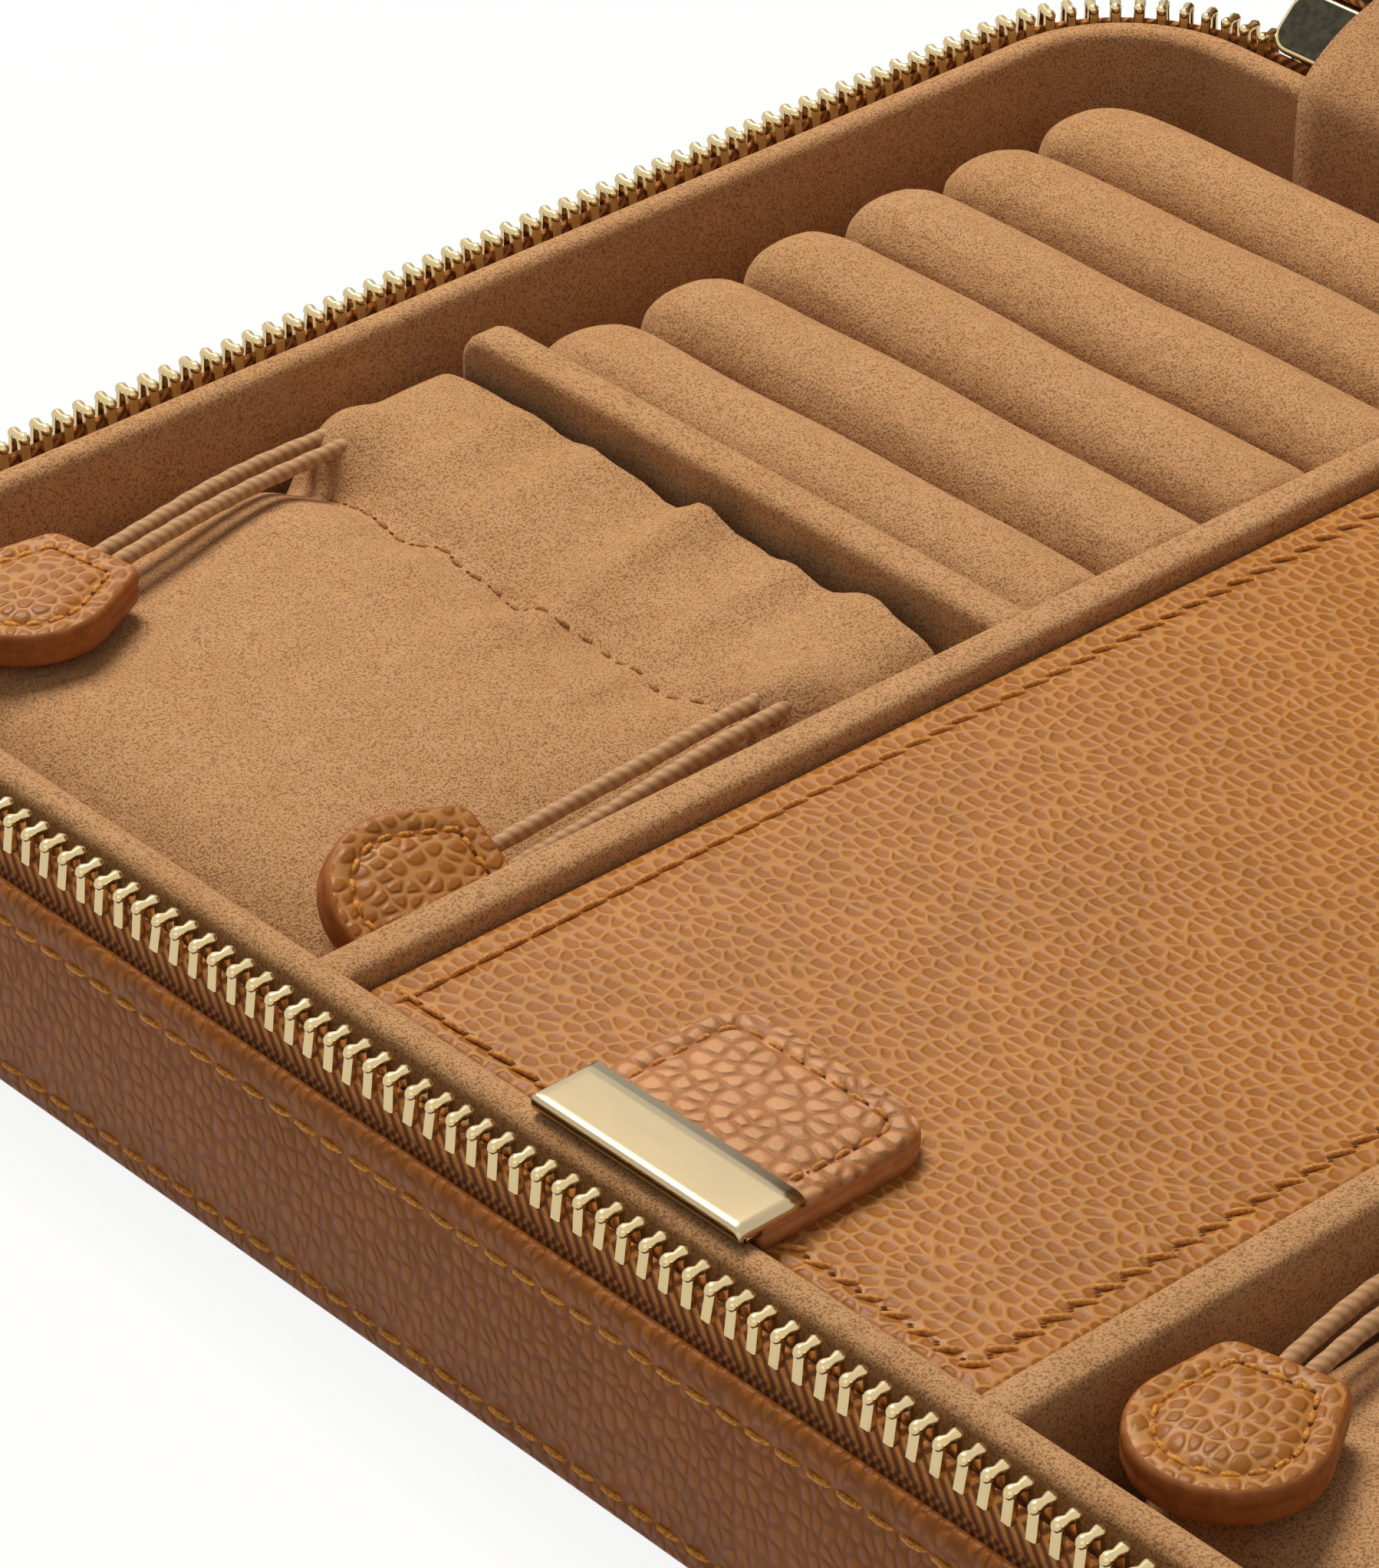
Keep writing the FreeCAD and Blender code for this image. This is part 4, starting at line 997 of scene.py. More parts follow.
def ringRoll(number):
    node = "ring_roll_%d" % number
    low, high = nodeBox(node)
    centreY, centreZ = (low[1:] + high[1:]) / 2
    slack = rollSizes["slack"]
    half = (high[1:] - low[1:]) / 2 - slack
    low[0] += rollSizes["startBack"] + slack
    length = high[0] - low[0]
    reach = rollSizes["endRound"]
    tuck = rollSizes["tuck"]
    along = np.concatenate([reach * (1 - np.cos(np.linspace(0.06, math.pi / 2, 9))),
                            np.linspace(reach + 2.0, length - tuck, 26),
                            [length - 0.5, length - 0.1, length]])
    angles = evenAngles(rollSizes["sides"])
    power = 2 / rollSizes["squareness"]
    uneven = rollSizes["uneven"]
    shapeY = np.sign(np.cos(angles)) * np.abs(np.cos(angles)) ** power
    shapeZ = np.sign(np.sin(angles)) * np.abs(np.sin(angles)) ** power
    net = []
    for x in along:
        grow = 1.0 if x >= reach else (1 - (1 - x / reach) ** 2.3) ** (1 / 2.1)
        sag = rollSizes["endSag"] * max(1 - x / (1.6 * reach), 0.0) ** 2
        if x > length - tuck:
            grow = 1 - 0.07 * ((x - length + tuck) / tuck) ** 2
        swell = np.sin(x / 9.0 + 1.7 * number + angles) + 0.7 * np.sin(x / 4.1 + number - 2 * angles)
        shrink = np.minimum(uneven * swell - uneven * 1.2, 0.0)
        net.append(np.column_stack([np.full(len(angles), low[0] + x),
                                    centreY + grow * (half[0] + 0.5 * shrink) * shapeY,
                                    centreZ - sag + grow * (half[1] - sag + shrink) * shapeZ]))
    netMap = gridMap(np.linspace(0, rollSizes["girth"], len(angles) + 1), along)
    piece = netPiece("ringRoll%d" % number, net, [suede], netMap)
    sewnLow = low[2] + rollSizes["sewnLow"]
    sewnEnd = high[0] - rollSizes["sewnEnd"]
    stuffed(piece, lambda place: place[2] < sewnLow or place[0] > sewnEnd, rollSizes)
    belongs(piece, "base", "suede", node)


for number in range(1, 7):
    ringRoll(number)
print("stage: ring rolls stuffed")


# inner lid: leather turned over a board, sewn round its border, with a sewn tab and a folded metal plate
innerLidSizes = {"edge": 1.0, "seamSide": 3.3, "seamFront": 2.2, "seamBack": 3.3, "groove": 0.18,
                 "grooveWide": 0.4, "uneven": 0.08, "pitch": 2.8}


def gradedLine(low, high, marks, coarse):
    # places from low to high, close together near each mark
    values = set(np.linspace(low, high, max(2, int((high - low) / coarse))))
    for mark in marks:
        for step in (0, 0.15, 0.3, 0.5, 0.75, 1.1):
            values.update((mark - step, mark + step))
    for rim in (0.0, 0.05, 0.18, 0.4, 0.7, 1.0):
        values.update((low + rim, high - rim))
    kept = np.array(sorted(value for value in values if low <= value <= high))
    return kept[np.concatenate([[True], np.diff(kept) > 0.02])]


def innerLidLeather():
    low, high = nodeBox("inner_lid_leather")
    sizes = innerLidSizes
    seams = (low[0] + sizes["seamSide"], high[0] - sizes["seamSide"], low[1] + sizes["seamFront"],
             high[1] - sizes["seamBack"])
    xs = gradedLine(low[0], high[0], seams[:2], 2.5)
    ys = gradedLine(low[1], high[1], seams[2:], 2.5)
    x, y = np.meshgrid(xs, ys)

    def rim(value, first, last):
        inside = np.minimum(value - first, last - value)
        return np.maximum(1 - inside / sizes["edge"], 0)

    corner = np.minimum(np.hypot(rim(x, low[0], high[0]), rim(y, low[1], high[1])), 1)
    height = high[2] - sizes["edge"] * (1 - np.sqrt(1 - corner ** 2))
    pastX = np.maximum(seams[0] - x, x - seams[1])
    pastY = np.maximum(seams[2] - y, y - seams[3])
    past = np.hypot(np.maximum(pastX, 0), np.maximum(pastY, 0))
    gap = np.where(past > 0, past, -np.maximum(pastX, pastY))
    height = height - sizes["groove"] * np.exp(-(gap / sizes["grooveWide"]) ** 2)
    height = height + sizes["uneven"] * np.sin(x / 11.0 + 0.4) * np.sin(y / 17.0)
    top = np.stack([x, y, np.minimum(height, high[2] + 0.1)], -1)
    under = top.copy()
    under[..., 2] = low[2]
    rows, cols = x.shape
    points = np.concatenate([top.reshape(-1, 3), under.reshape(-1, 3)])
    faces = []
    total = rows * cols
    for row in range(rows - 1):
        for col in range(cols - 1):
            a = row * cols + col
            quad = (a, a + 1, a + cols + 1, a + cols)
            faces.append(quad)
            faces.append(tuple(index + total for index in quad[::-1]))
    spots = np.arange(total).reshape(rows, cols)
    rimLoop = np.concatenate([spots[0], spots[1:, -1], spots[-1, -2::-1], spots[-2:0:-1, 0]]).tolist()
    for a, b in zip(rimLoop, rimLoop[1:] + rimLoop[:1]):
        faces.append((a, a + total, b + total, b))
    corners = [points[index][:2] for face in faces for index in face]
    piece = finishMesh("innerLidLeather", points, faces, [lidLeather], corners)
    belongs(piece, "inner_lid", "lid_leather", "inner_lid_leather")
    seamTop = high[2] - sizes["groove"] + 0.22
    loop = [(seams[0], seams[2]), (seams[1], seams[2]), (seams[1], seams[3]), (seams[0], seams[3])]
    line = [(x, y, seamTop) for x, y in loop]
    sewnRow("innerLidSeam", line, (0, 0, 1), "inner_lid", "lid_leather", brownThread, longStitch,
            sizes["pitch"], True)


innerLidLeather()


# shapes cut from thick leather: an outline that shrinks inwards, a groove where it is sewn, a puffed middle
def cornered(points, radius):
    # a polygon with each corner eased, as (x, y) places
    points = np.asarray(points, float)
    curved = []
    for index, point in enumerate(points):
        first = point + radius[index] * unit(points[index - 1] - point)
        last = point + radius[index] * unit(points[(index + 1) % len(points)] - point)
        for t in np.linspace(0, 1, 7):
            curved.append((1 - t) ** 2 * first + 2 * t * (1 - t) * point + t ** 2 * last)
    return np.array(curved)


def spread(outline, count):
    # the outline as evenly spaced places
    closed = np.vstack([outline, outline[:1]])
    run = runs(closed)
    return placesAlong(closed, run, np.linspace(0, run[-1], count, endpoint=False))


def cutLeather(name, outlineAt, levels, count, place, materials, edgeRows):
    # levels are (inset, height) pairs from the underside's middle, round the edge, to the top's middle
    net = []
    for inset, height in levels:
        flat = spread(outlineAt(inset), count)
        net.append(np.column_stack([flat, np.full(count, height)]))
    net = np.array(net)
    netMap = np.concatenate([net[:, :, :2], net[:, :1, :2]], 1)
    placed = [place(row) for row in net]
    return netPiece(name, placed, materials, netMap,
                    faceMaterial=lambda row, col: 1 if edgeRows[0] <= row < edgeRows[1] else 0)


tabSizes = {"short": 1.4, "corner": 5.0, "seam": 2.4, "seamStart": 6.0, "groove": 0.4, "puff": 0.25,
            "pitch": 2.3}


def makeTab():
    low, high = nodeBox("inner_lid_tab")
    sizes = tabSizes
    thick = high[2] - low[2]

    def outlineAt(inset):
        left, right = low[0] + inset, high[0] - inset
        front, back = low[1] + 0.4 * inset, high[1] - sizes["short"] - inset
        bend = max(sizes["corner"] - inset, 0.8)
        return cornered([(left, front), (right, front), (right, back), (left, back)], [0.4, 0.4, bend, bend])

    under, top = low[2], high[2]
    seam, groove, puff = sizes["seam"], sizes["groove"], sizes["puff"]
    levels = [(4.5, under), (1.0, under), (0.0, under + 0.12), (-0.06, under + 0.45 * thick),
              (0.02, under + 0.5 * thick), (-0.06, under + 0.55 * thick), (0.0, top - 0.7), (0.18, top - 0.3),
              (0.5, top - 0.08), (1.1, top), (seam - 0.55, top - 0.02), (seam - 0.2, top - 0.6 * groove),
              (seam, top - groove), (seam + 0.2, top - 0.6 * groove), (seam + 0.6, top - 0.02),
              (seam + 1.6, top + 0.4 * puff), (seam + 4.0, top + puff), (seam + 7.0, top + puff)]
    piece = cutLeather("innerLidTab", outlineAt, levels, 120, straight, [tabLeather, tabEdge], (2, 6))
    belongs(piece, "inner_lid", "lid_leather", "inner_lid_tab")
    sewn = outlineAt(seam)
    front = low[1] + sizes["seamStart"]
    line = [(sewn[7][0], front), *sewn[14:28], (sewn[0][0], front)]
    line = [(x, y, top - groove + 0.18) for x, y in line]
    sewnRow("innerLidTabSeam", line, (0, 0, 1), "inner_lid", "lid_leather", brownThread, shortStitch,
            sizes["pitch"])


makeTab()


plateSizes = {"thick": 0.5, "turnUnder": 2.3}


def makePlate():
    # a thin plate folded round the tab's front edge, its ends rolled down a touch
    (left, front, under), (right, back, top) = nodeBox("inner_lid_plate")
    thick = plateSizes["thick"]
    turned = front + plateSizes["turnUnder"]
    outer = [(back, top), (back - 1.5, top), (front + 0.9, top), (front + 0.4, top - 0.01),
             (front + 0.1, top - 0.1), (front, top - 0.35), (front, under + 0.5),
             (front + 0.14, under + 0.14), (front + 0.5, under), (turned, under)]
    inner = [(turned, under + thick), (front + 0.8, under + thick), (front + thick, under + thick + 0.15),
             (front + thick, top - thick - 0.15), (front + 0.8, top - thick), (back, top - thick)]
    depth, level = np.array(outer + inner).T
    ends = [(left, 0.10), (left + 0.06, 0.03), (left + 0.2, 0.0)]
    ends += [(x, 0.0) for x in np.linspace(left + 1.0, right - 1.4, 12)]
    ends += [(right - 0.9, 0.03), (right - 0.5, 0.12), (right - 0.2, 0.3), (right - 0.03, 0.62),
             (right, 0.95)]
    net = []
    for x, drop in ends:
        height = np.where(level > (under + top) / 2, level - drop, level)
        height = np.maximum(height, np.minimum(level, under + thick + 0.05))
        net.append(np.column_stack([np.full(len(level), x), depth, height]))
    piece = netPiece("innerLidPlate", net, [plateGold])
    belongs(piece, "inner_lid", "plate_metal", "inner_lid_plate")


makePlate()
print("stage: inner lid finished")


# flat leather panels, top and bottom, set inside the side walls
panelSizes = {"inset": 1.7, "thick": 2.0, "edge": 0.5}


def casePanel(name, low, node, body, place):
    thick = panelSizes["thick"]
    edge = panelSizes["edge"]

    def outlineAt(inset):
        return stationPoints(ringStations, panelSizes["inset"] + inset, 0)[:, :2]

    levels = [(12.0, thick), (0.0, thick), (0.0, edge), (0.3 * edge, 0.3 * edge), (edge, 0.0), (6.0, 0.0),
              (18.0, 0.0)]
    levels = [(inset, low + height) for inset, height in levels]
    piece = cutLeather(name, outlineAt, levels, 180, place, [caseLeather, caseLeather], (0, 0))
    belongs(piece, body, "case_leather", node)


casePanel("basePanel", 0.0, "base_panel", "base", straight)
casePanel("lidPanel", lidWallLow, "lid_panel", "lid", toLid)
print("stage: panels cut")


# hinge lining and spine: bent sheets that cross the lid's hinge
liningSizes = {"thick": 0.8, "rows": 46, "cols": 60, "ripple": 0.25}
spineSizes = {"half": 90.0, "thick": 1.5}
liningLine = [(84.1, 8.6), (84.1, 16.0), (84.1, 22.5), (84.25, 25.6), (85.9, 27.4), (88.6, 29.2),
              (91.4, 30.6), (94.0, 31.2), (96.2, 32.3), (97.0, 34.6), (99.6, 35.45), (104.0, 34.65),
              (108.3, 33.9)]
spineLine = [(93.2, 20.9), (93.2, 23.0), (93.2, 25.0), (93.7, 26.4), (95.3, 26.85), (97.3, 26.45),
             (99.36, 26.07)]


def bentSheet(name, line, halfWide, thick, material, ripple):
    centre = smoothLine(line, liningSizes["rows"])
    ahead = unit(np.gradient(centre, axis=0))
    across = np.column_stack([-ahead[:, 1], ahead[:, 0]])
    xs = np.linspace(-halfWide, halfWide, liningSizes["cols"])
    down = runs(centre)
    loose = np.sin(math.pi * np.linspace(0, 1, len(centre))) ** 2
    sides = []
    for sign in (1, -1):
        rows = []
        for index, (y, z) in enumerate(centre):
            wave = ripple * loose[index] * (np.sin(xs / 13.0 + 0.2 * index / 4) + 0.5 * np.sin(xs / 5.1))
            shift = sign * thick / 2 + wave
            rows.append(np.column_stack([xs, y + shift * across[index, 0], z + shift * across[index, 1]]))
        sides.append(np.array(rows))
    net = np.concatenate([sides[0], sides[1][::-1]])
    over = np.concatenate([down, down[-1] + thick + down, [2 * down[-1] + 2 * thick]])
    piece = netPiece(name, net, [material], gridMap(xs, over), True, False, "")
    outwardFaces(piece.data, True)
    return piece, down[-1]


liningHalf = nodeBox("hinge_lining")[1][0]
lining, liningLong = bentSheet("hingeLining", liningLine, liningHalf, liningSizes["thick"], suede,
                               liningSizes["ripple"])
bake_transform(lining)
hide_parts("hinge_lining")
spine = bentSheet("spineLeather", spineLine, spineSizes["half"], spineSizes["thick"], caseLeather, 0.0)[0]
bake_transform(spine)
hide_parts("base_spine", "lid_spine")
print("stage: hinge lining and spine bent")


# drawstring pouches: soft bags with a gathered header behind a sewn casing
pouchSizes = {"top": 21.0, "casing": 51.5, "pinch": 1.5, "pinchWide": 3.4, "narrowLeft": 1.2,
              "narrowRight": 0.4, "frontRound": 12.0, "cornerRound": 11.0, "folds": 1.1, "flare": 2.1,
              "sag": 0.35, "sides": 132, "fill": 0.45, "channel": 3.6, "mouth": 3.5, "cloth": 0.9,
              "turnFrom": 26.0, "pitch": 2.6}
bagUnder = [(0.8, -0.01), (0.6, -0.01), (0.4, -0.01), (0.2, -0.01)]
bagOutline = [(0.05, 0.0), (0.0, 0.16), (-0.005, 0.45), (0.012, 0.72), (0.06, 0.93), (0.15, 1.0),
              (0.28, 1.02), (0.42, 1.03), (0.56, 1.03), (0.68, 1.0), (0.79, 0.93), (0.88, 0.78),
              (0.96, 0.56), (1.005, 0.34), (1.0, 0.12), (0.95, 0.0)] + bagUnder
headerOutline = [(0.03, 0.0), (0.0, 0.2), (0.0, 0.5), (0.008, 0.76), (0.045, 0.95), (0.12, 1.02),
                 (0.26, 1.03), (0.42, 1.03), (0.56, 1.03), (0.7, 1.03), (0.83, 1.03), (0.95, 1.03),
                 (1.0, 0.92), (1.0, 0.6), (1.0, 0.2), (0.97, 0.0)] + bagUnder


def eased(value):
    value = np.clip(value, 0.0, 1.0)
    return value * value * (3 - 2 * value)


def gathers(share, seed):
    # folds across the header, uneven in width
    warp = share + 0.02 * np.sin(9.0 * share + seed)
    folds = 0.62 * np.sin(36.0 * warp + seed) + 0.38 * np.sin(23.0 * warp + 1.9 * seed)
    folds += 0.25 * np.sin(61.0 * warp)
    return folds * eased((share + 0.05) / 0.35)


def makeBag(number, seed):
    body = "pouch_%d" % number
    low, high = nodeBox(body + "_bag")
    sizes = pouchSizes
    wide, deep = (high - low)[:2]
    tall = sizes["top"] - low[2] - 1.0
    casing = sizes["casing"]
    front = smoothLine(bagOutline, sizes["sides"], True)
    back = smoothLine(headerOutline, sizes["sides"], True)
    onRight = eased((front[:, 0] - 0.3) / 0.4)
    distances = np.concatenate([[0.0, 0.15, 0.5, 1.1, 2.0, 3.2, 4.8, 6.8, 9.2, 12.0],
                                np.arange(14.5, casing - 8, 2.5), np.arange(casing - 7.5, casing + 7.5, 0.6),
                                np.arange(casing + 7.5, deep - 0.4, 1.0), [deep]])
    net = []
    casingLine = []
    for distance in distances:
        short = max(1 - distance / sizes["frontRound"], 0.0)
        grow = 0.12 + 0.88 * math.sqrt(max(1 - short ** 2, 0.0))
        cut = max(1 - distance / sizes["cornerRound"], 0.0)
        inset = sizes["cornerRound"] * 0.75 * (1 - math.sqrt(max(1 - cut ** 2, 0.0)))
        pinch = math.exp(-((distance - casing) / sizes["pinchWide"]) ** 2)
        header = np.clip((distance - casing) / (deep - casing), 0, 1)
        ahead = np.clip((casing - distance) / 20.0, 0, 1)
        narrow = inset + pinch * (sizes["narrowLeft"] * (1 - onRight) + sizes["narrowRight"] * onRight)
        turned = ((1 - onRight) * eased((distance - casing - 1.0) / 8.0)
                  + onRight * eased((distance - sizes["turnFrom"]) / (casing - sizes["turnFrom"])))[:, None]
        section = (1 - turned) * front + turned * back
        across, level = section.T
        x = low[0] + narrow + across * (wide - 2 * narrow)
        lift = level * tall * grow
        onTop = np.clip((level - 0.45) / 0.4, 0, 1)
        strength = sizes["folds"] * (header ** 0.7 if distance > casing else (1 - ahead) ** 2.2)
        lift += onTop * strength * gathers(across, seed)
        lift -= onTop * sizes["pinch"] * pinch * (1 + 0.25 * gathers(across, seed + 1.0))
        flare = sizes["flare"] * math.sin(0.5 * math.pi * header)
        lift += onTop * flare * (0.75 + 0.25 * np.cos(3.0 * across))
        lift += onTop * sizes["sag"] * np.sin(distance / 8.0 + 5.0 * across + seed) * (1 - pinch)
        nearSide = np.exp(-((across - 0.07) / 0.07) ** 2) + np.exp(-((across - 0.93) / 0.07) ** 2)
        closing = eased((distance - casing + 0.6) / 2.6) * (1 - 0.8 * eased((distance - casing - 3.0) / 9.0))
        lift += np.clip((level - 0.3) / 0.4, 0, 1) * sizes["channel"] * nearSide * closing
        y = low[1] + distance + onTop * (0.7 * gathers(across, seed + 2.0) * pinch
                                         + 0.5 * header * gathers(across, seed + 3.0))
        y = np.minimum(y, high[1] + 0.6)
        net.append(np.column_stack([x, y, low[2] + 0.25 + np.maximum(lift, 0.0)]))
        casingLine.append((abs(distance - casing), net[-1]))
    rim = net[-1]
    middle = rim.mean(0)
    cloth = sizes["cloth"]
    for inset, depth in ((0.4, 0.25), (cloth, 0.05), (cloth + 0.6, -1.2), (3.0, -sizes["mouth"])):
        shrink = np.array([1 - 2 * inset / wide, 1.0, 1 - 2 * inset / np.ptp(rim[:, 2])])
        net.append(middle + (rim - middle) * shrink + np.array([0, depth, 0]))
    netMap = gridMap(runs(front * (wide, 16.0), True), np.arange(len(net)) * 1.0)
    piece = netPiece("pouch%dBag" % number, net, [suede], netMap)
    belongs(piece, body, "suede", body + "_bag")
    ring = min(casingLine, key=lambda pair: pair[0])[1]
    seam = ring[(back[:, 1] > 0.98) & (back[:, 0] > 0.1) & (back[:, 0] < 0.95)]
    seam = seam[np.argsort(seam[:, 0])] + np.array([0, 0, 0.06])
    sewnRow("pouch%dCasing" % number, seam, (0, 0, 1), body, "suede", pouchThread, shortStitch,
            sizes["pitch"])


for number, seed in ((1, 0.7), (2, 2.3)):
    makeBag(number, seed)
print("stage: pouches gathered")


# pouch cords: waxed and twisted, two to each pull, lying over the bag
cordSizes = {"diameter": 1.6, "lobes": 0.04, "turn": 7.0, "sides": 14, "step": 0.6}
cordRoutes = {
    "pouch_1_cord_left_inner": [(-106.4, -27.2, 21.9), (-106.5, -34.4, 21.9), (-105.4, -42.3, 22.4),
                                (-103.5, -50.2, 23.1), (-102.1, -58.0, 23.2)],
    "pouch_1_cord_left_outer": [(-108.9, -27.2, 21.9), (-109.2, -34.2, 21.9), (-107.9, -42.2, 22.5),
                                (-105.7, -50.4, 23.1), (-104.3, -58.4, 23.2)],
    "pouch_1_cord_right_inner": [(-48.9, -27.2, 21.9), (-48.7, -35.0, 21.9), (-48.6, -43.1, 21.3),
                                 (-49.2, -51.3, 20.4), (-49.1, -59.2, 19.9)],
    "pouch_1_cord_right_outer": [(-46.4, -27.2, 21.9), (-46.2, -35.0, 21.8), (-46.5, -43.0, 20.6),
                                 (-47.3, -51.2, 18.9), (-47.5, -59.2, 18.3)],
    "pouch_2_cord_left_inner": [(45.9, -27.2, 21.9), (45.8, -36.2, 21.9), (46.2, -45.7, 22.3),
                                (47.0, -55.2, 23.1), (48.75, -64.35, 23.2)],
    "pouch_2_cord_left_outer": [(43.4, -27.2, 21.9), (43.2, -36.4, 21.9), (43.6, -46.0, 22.4),
                                (44.6, -55.6, 23.1), (46.65, -64.85, 23.2)],
    "pouch_2_cord_right_inner": [(108.0, -27.2, 21.9), (108.2, -35.0, 21.9), (108.4, -43.0, 21.2),
                                 (107.8, -51.2, 20.3), (107.8, -59.2, 19.9)],
    "pouch_2_cord_right_outer": [(110.5, -27.2, 21.9), (110.3, -35.2, 21.7), (110.0, -43.2, 20.3),
                                 (109.5, -51.2, 18.9), (109.4, -59.2, 18.3)],
}


def routePoints(route):
    # points along the smooth line that the route's control points draw
    curve = bpy.data.curves.new("cordRoute", "CURVE")
    curve.dimensions = "3D"
    spline = curve.splines.new("NURBS")
    spline.points.add(len(route) - 1)
    for point, place in zip(spline.points, route):
        point.co = (*(value * mm for value in place), 1.0)
    spline.order_u = 3
    spline.use_endpoint_u = True
    spline.resolution_u = 16
    drawn = bpy.data.objects.new("cordRoute", curve)
    mesh = bpy.data.meshes.new_from_object(drawn)
    points = np.array([tuple(vertex.co) for vertex in mesh.vertices]) / mm
    bpy.data.objects.remove(drawn)
    bpy.data.meshes.remove(mesh)
    bpy.data.curves.remove(curve)
    return points


def nameAndBody(node):
    # the piece's name and its body, from the words of the node
    first, number, *others = node.split("_")
    return first + number + "".join(word.capitalize() for word in others), first + "_" + number


def cordPiece(node, route):
    sizes = cordSizes
    points = routePoints(route)
    run = runs(points)
    wanted = np.linspace(0, run[-1], int(run[-1] / sizes["step"]))
    line = placesAlong(points, run, wanted)
    ahead = unit(np.gradient(line, axis=0))
    side = unit(np.cross(ahead, (0.0, 0.0, 1.0)))
    above = np.cross(side, ahead)
    angles = evenAngles(sizes["sides"])
    net = []
    for index, place in enumerate(line):
        twist = 2 * math.pi * wanted[index] / sizes["turn"]
        radius = sizes["diameter"] / 2 * (1 - sizes["lobes"] + sizes["lobes"] * np.cos(2 * (angles - twist)))
        net.append(place + (radius * np.cos(angles))[:, None] * side[index]
                   + (radius * np.sin(angles))[:, None] * above[index])
    netMap = gridMap(np.linspace(0, 1 / mm, len(angles) + 1), wanted)
    name, body = nameAndBody(node)
    piece = netPiece(name, net, [waxedCord], netMap)
    belongs(piece, body, "cord", node)
    return piece, points, run[-1]


# leather pulls: two layers sewn face to face with painted edges
pullSizes = {"neck": 10.6, "wide": 15.8, "long": 17.2, "thick": 3.3, "seam": 2.3, "groove": 0.34, "puff": 0.4,
             "pitch": 2.0}
pullPlaces = {
    "pouch_1_pull_left": ((-103.2, -58.3, 23.2), 9.3, 0.0),
    "pouch_1_pull_right": ((-48.3, -59.3, 19.1), 0.0, 32.0),
    "pouch_2_pull_left": ((47.7, -64.7, 23.2), 14.4, 0.0),
    "pouch_2_pull_right": ((108.6, -59.3, 19.1), 0.0, 32.0),
}


def pullOutline(inset):
    # neck at X 0, round end at X long
    sizes = pullSizes
    radius = sizes["wide"] / 2
    reach = sizes["long"] - radius
    slope = math.atan2(radius - sizes["neck"] / 2, reach)
    normal = np.array([math.sin(slope), -math.cos(slope)])
    corner = np.array([0.0, sizes["neck"] / 2]) + normal * inset
    flare = np.array([math.cos(slope), math.sin(slope)])
    neckPoint = corner + flare * ((inset - corner[0]) / flare[0])
    first = math.pi / 2 + slope
    arc = [(reach + (radius - inset) * math.cos(angle), (radius - inset) * math.sin(angle))
           for angle in np.linspace(first, -first, 41)]
    ease = max(1.5 - 0.4 * inset, 0.5)
    square = cornered([neckPoint * (1, -1), neckPoint, arc[0], arc[-1]], [ease, ease, 0.01, 0.01])
    return np.vstack([square[:14], arc])


def makePull(node):
    neck, turn, slope = pullPlaces[node]
    sizes = pullSizes
    lean = Matrix.Rotation(math.radians(slope), 3, "Y")
    heading = np.array(lean @ Matrix.Rotation(math.radians(turn - 90), 3, "Z"))

    def place(points):
        return np.asarray(points, float) @ heading.T + np.array(neck)

    top = sizes["thick"] / 2
    seam, groove, puff = sizes["seam"], sizes["groove"], sizes["puff"]
    upper = [(0.0, top - 0.55), (0.12, top - 0.22), (0.4, top - 0.03), (0.9, top), (seam - 0.55, top),
             (seam - 0.22, top - 0.6 * groove), (seam, top - groove), (seam + 0.22, top - 0.6 * groove),
             (seam + 0.55, top), (seam + 1.0, top + 0.5 * puff), (seam + 1.6, top + 0.8 * puff),
             (seam + 2.3, top + puff)]
    lower = [(inset, -height) for inset, height in upper[::-1]]
    levels = lower + [(-0.05, -0.4), (0.1, -0.05), (0.1, 0.05), (-0.05, 0.4)] + upper
    painted = (len(lower) - 3, len(lower) + 6)
    name, body = nameAndBody(node)
    piece = cutLeather(name, pullOutline, levels, 110, place, [pullLeather, edgePaint], painted)
    belongs(piece, body, "lid_leather", node)
    line = spread(pullOutline(seam), 90)
    for label, side in (("SeamTop", 1), ("SeamUnder", -1)):
        sewn = place(np.column_stack([line, np.full(len(line), side * (top - groove + 0.16))]))
        above = heading @ np.array([0, 0, side])
        sewnRow(name + label, sewn, above, body, "lid_leather", goldThread, shortStitch, sizes["pitch"], True)
    return piece


pulls = {node: makePull(node) for node in pullPlaces}
for node, route in cordRoutes.items():
    cord, points, length = cordPiece(node, route)
    tuple(value * mm for value in route[0])
    [tuple(point * mm) for point in points]
print("stage: cords and pulls made")


# pale floor and soft studio light from high on the left
keyLight = {"way": (-0.5, 0.15, 0.85), "far": 1.1, "wide": 0.5, "power": 11.6, "colour": (1.0, 0.96, 0.9)}
fillLight = {"way": (0.5, -0.75, 0.5), "far": 1.2, "wide": 0.9, "power": 1.0, "colour": (1.0, 0.95, 0.9)}
studio = {"worldLevel": 0.25, "worldColour": (1.0, 0.97, 0.93, 1), "floorHalf": 4.0, "floorDrop": 0.0004,
          "floorColour": (0.86, 0.86, 0.85, 1), "floorWhite": 0.9}


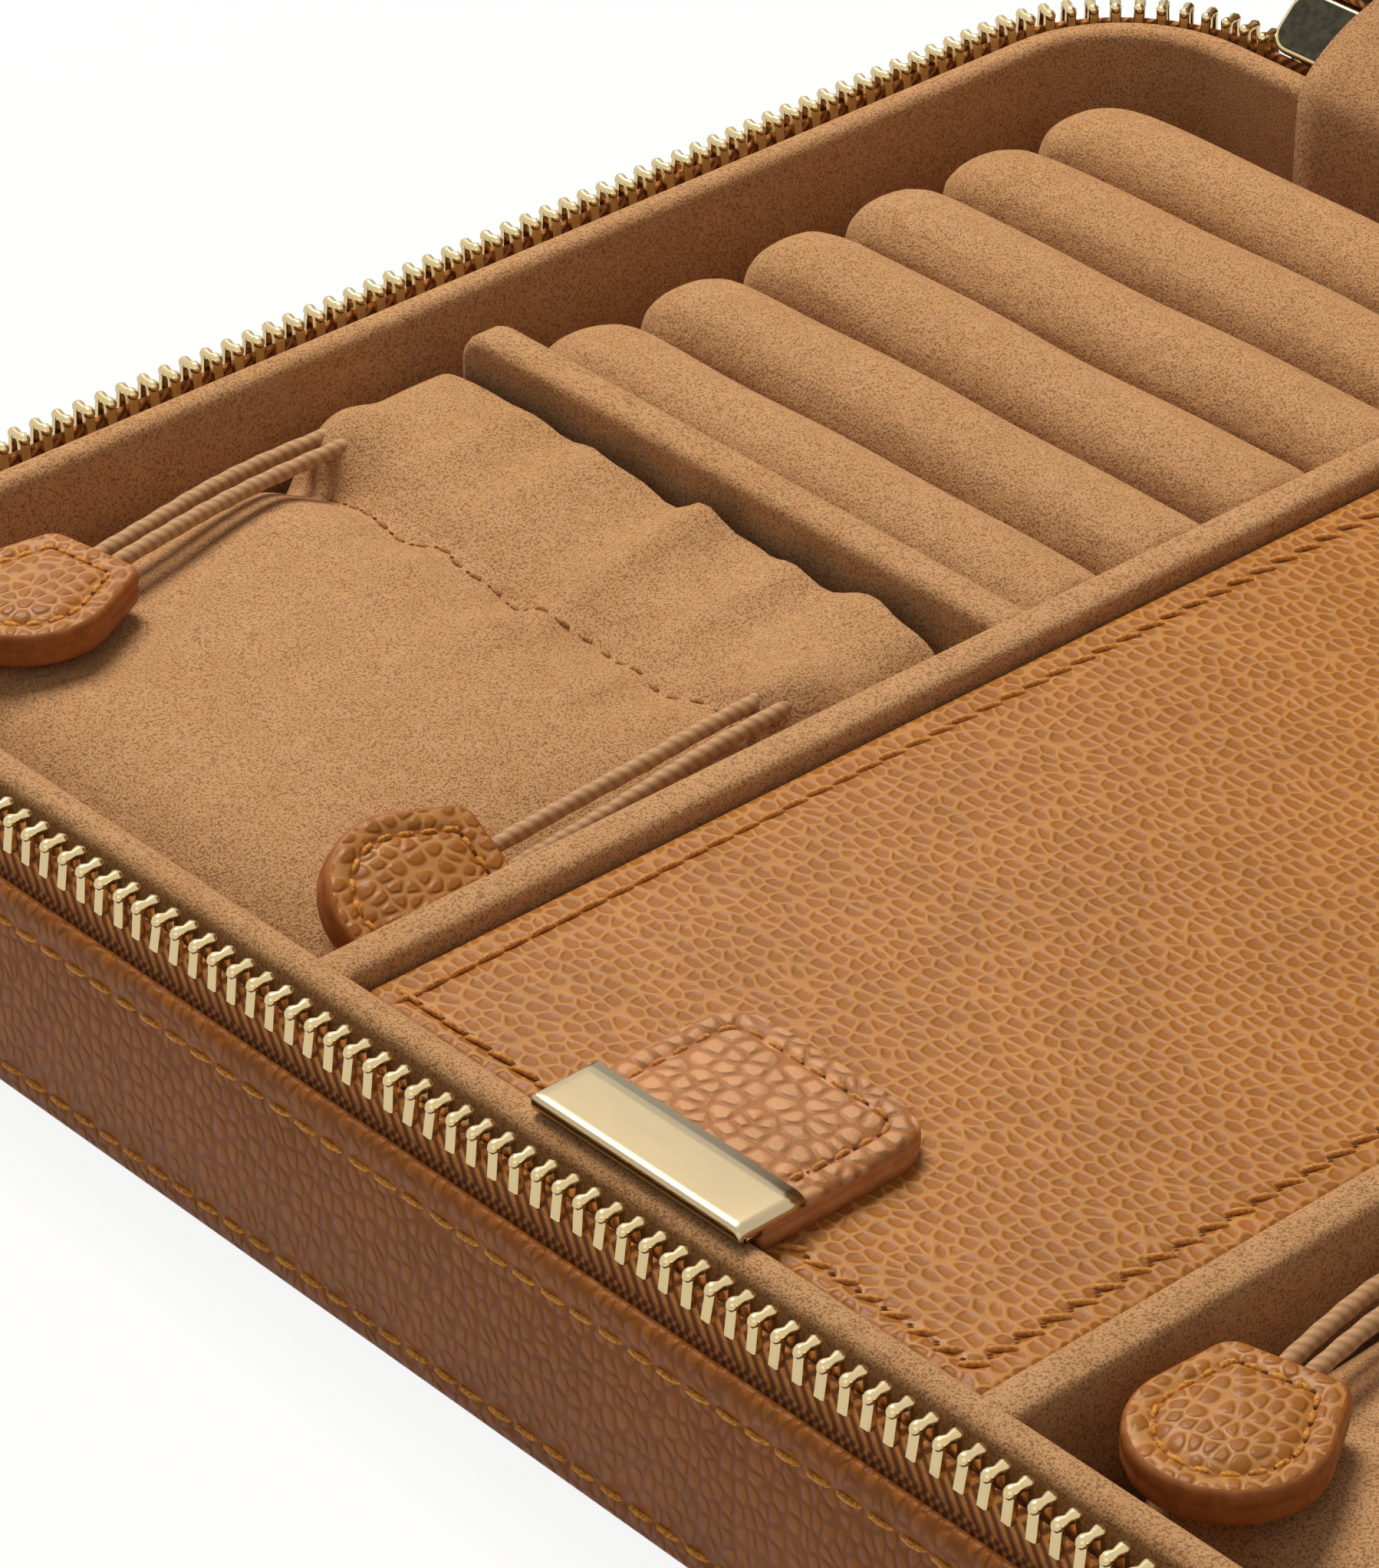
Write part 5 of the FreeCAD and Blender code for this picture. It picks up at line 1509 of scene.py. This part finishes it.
def whiteSeen(tree, plain, white, share):
    # white to the camera and in mirrors, plain light to everything else
    path = addNode(tree, "ShaderNodeLightPath").outputs
    seen = work(tree, "MAXIMUM", path["Is Camera Ray"], path["Is Glossy Ray"])
    seen = work(tree, "MAXIMUM", seen, path["Is Transmission Ray"])
    mixed = addNode(tree, "ShaderNodeMixShader", {0: times(tree, seen, share), 1: plain, 2: white})
    return mixed.outputs[0]


def makeFloor():
    half, drop = studio["floorHalf"], studio["floorDrop"]
    mesh = bpy.data.meshes.new("floor")
    corners = [(half * x, half * y, -drop) for x, y in ((-1, -1), (1, -1), (1, 1), (-1, 1))]
    mesh.from_pydata(corners, [], [(0, 1, 2, 3)])
    floor = addObject("floor", mesh)
    material = bpy.data.materials.new("paleFloor")
    material.use_nodes = True
    tree = material.node_tree
    tree.nodes.remove(tree.nodes["Principled BSDF"])
    plain = addNode(tree, "ShaderNodeBsdfDiffuse", {"Color": studio["floorColour"]}).outputs[0]
    white = addNode(tree, "ShaderNodeEmission", {"Color": (1, 1, 1, 1), "Strength": 1.0}).outputs[0]
    seen = whiteSeen(tree, plain, white, studio["floorWhite"])
    tree.links.new(seen, tree.nodes["Material Output"].inputs["Surface"])
    mesh.materials.append(material)


def makeWorld():
    world = bpy.data.worlds.new("studio")
    world.use_nodes = True
    tree = world.node_tree
    plain = addNode(tree, "ShaderNodeBackground", {
        "Color": studio["worldColour"], "Strength": studio["worldLevel"]}).outputs[0]
    white = addNode(tree, "ShaderNodeBackground", {"Color": (1, 1, 1, 1), "Strength": 1.0}).outputs[0]
    output = [node for node in tree.nodes if node.type == "OUTPUT_WORLD"][0]
    tree.links.new(whiteSeen(tree, plain, white, 1.0), output.inputs["Surface"])
    scene.world = world


def areaLight(name, look):
    data = bpy.data.lights.new(name, "AREA")
    data.shape = "DISK"
    data.size = look["wide"]
    data.energy = look["power"]
    data.color = look["colour"]
    lamp = addObject(name, data)
    way = Vector(look["way"]).normalized()
    lamp.location = way * look["far"]
    lamp.rotation_euler = way.to_track_quat("Z", "Y").to_euler()


makeFloor()
makeWorld()
areaLight("keyLight", keyLight)
areaLight("fillLight", fillLight)
print("stage: floor and light set")
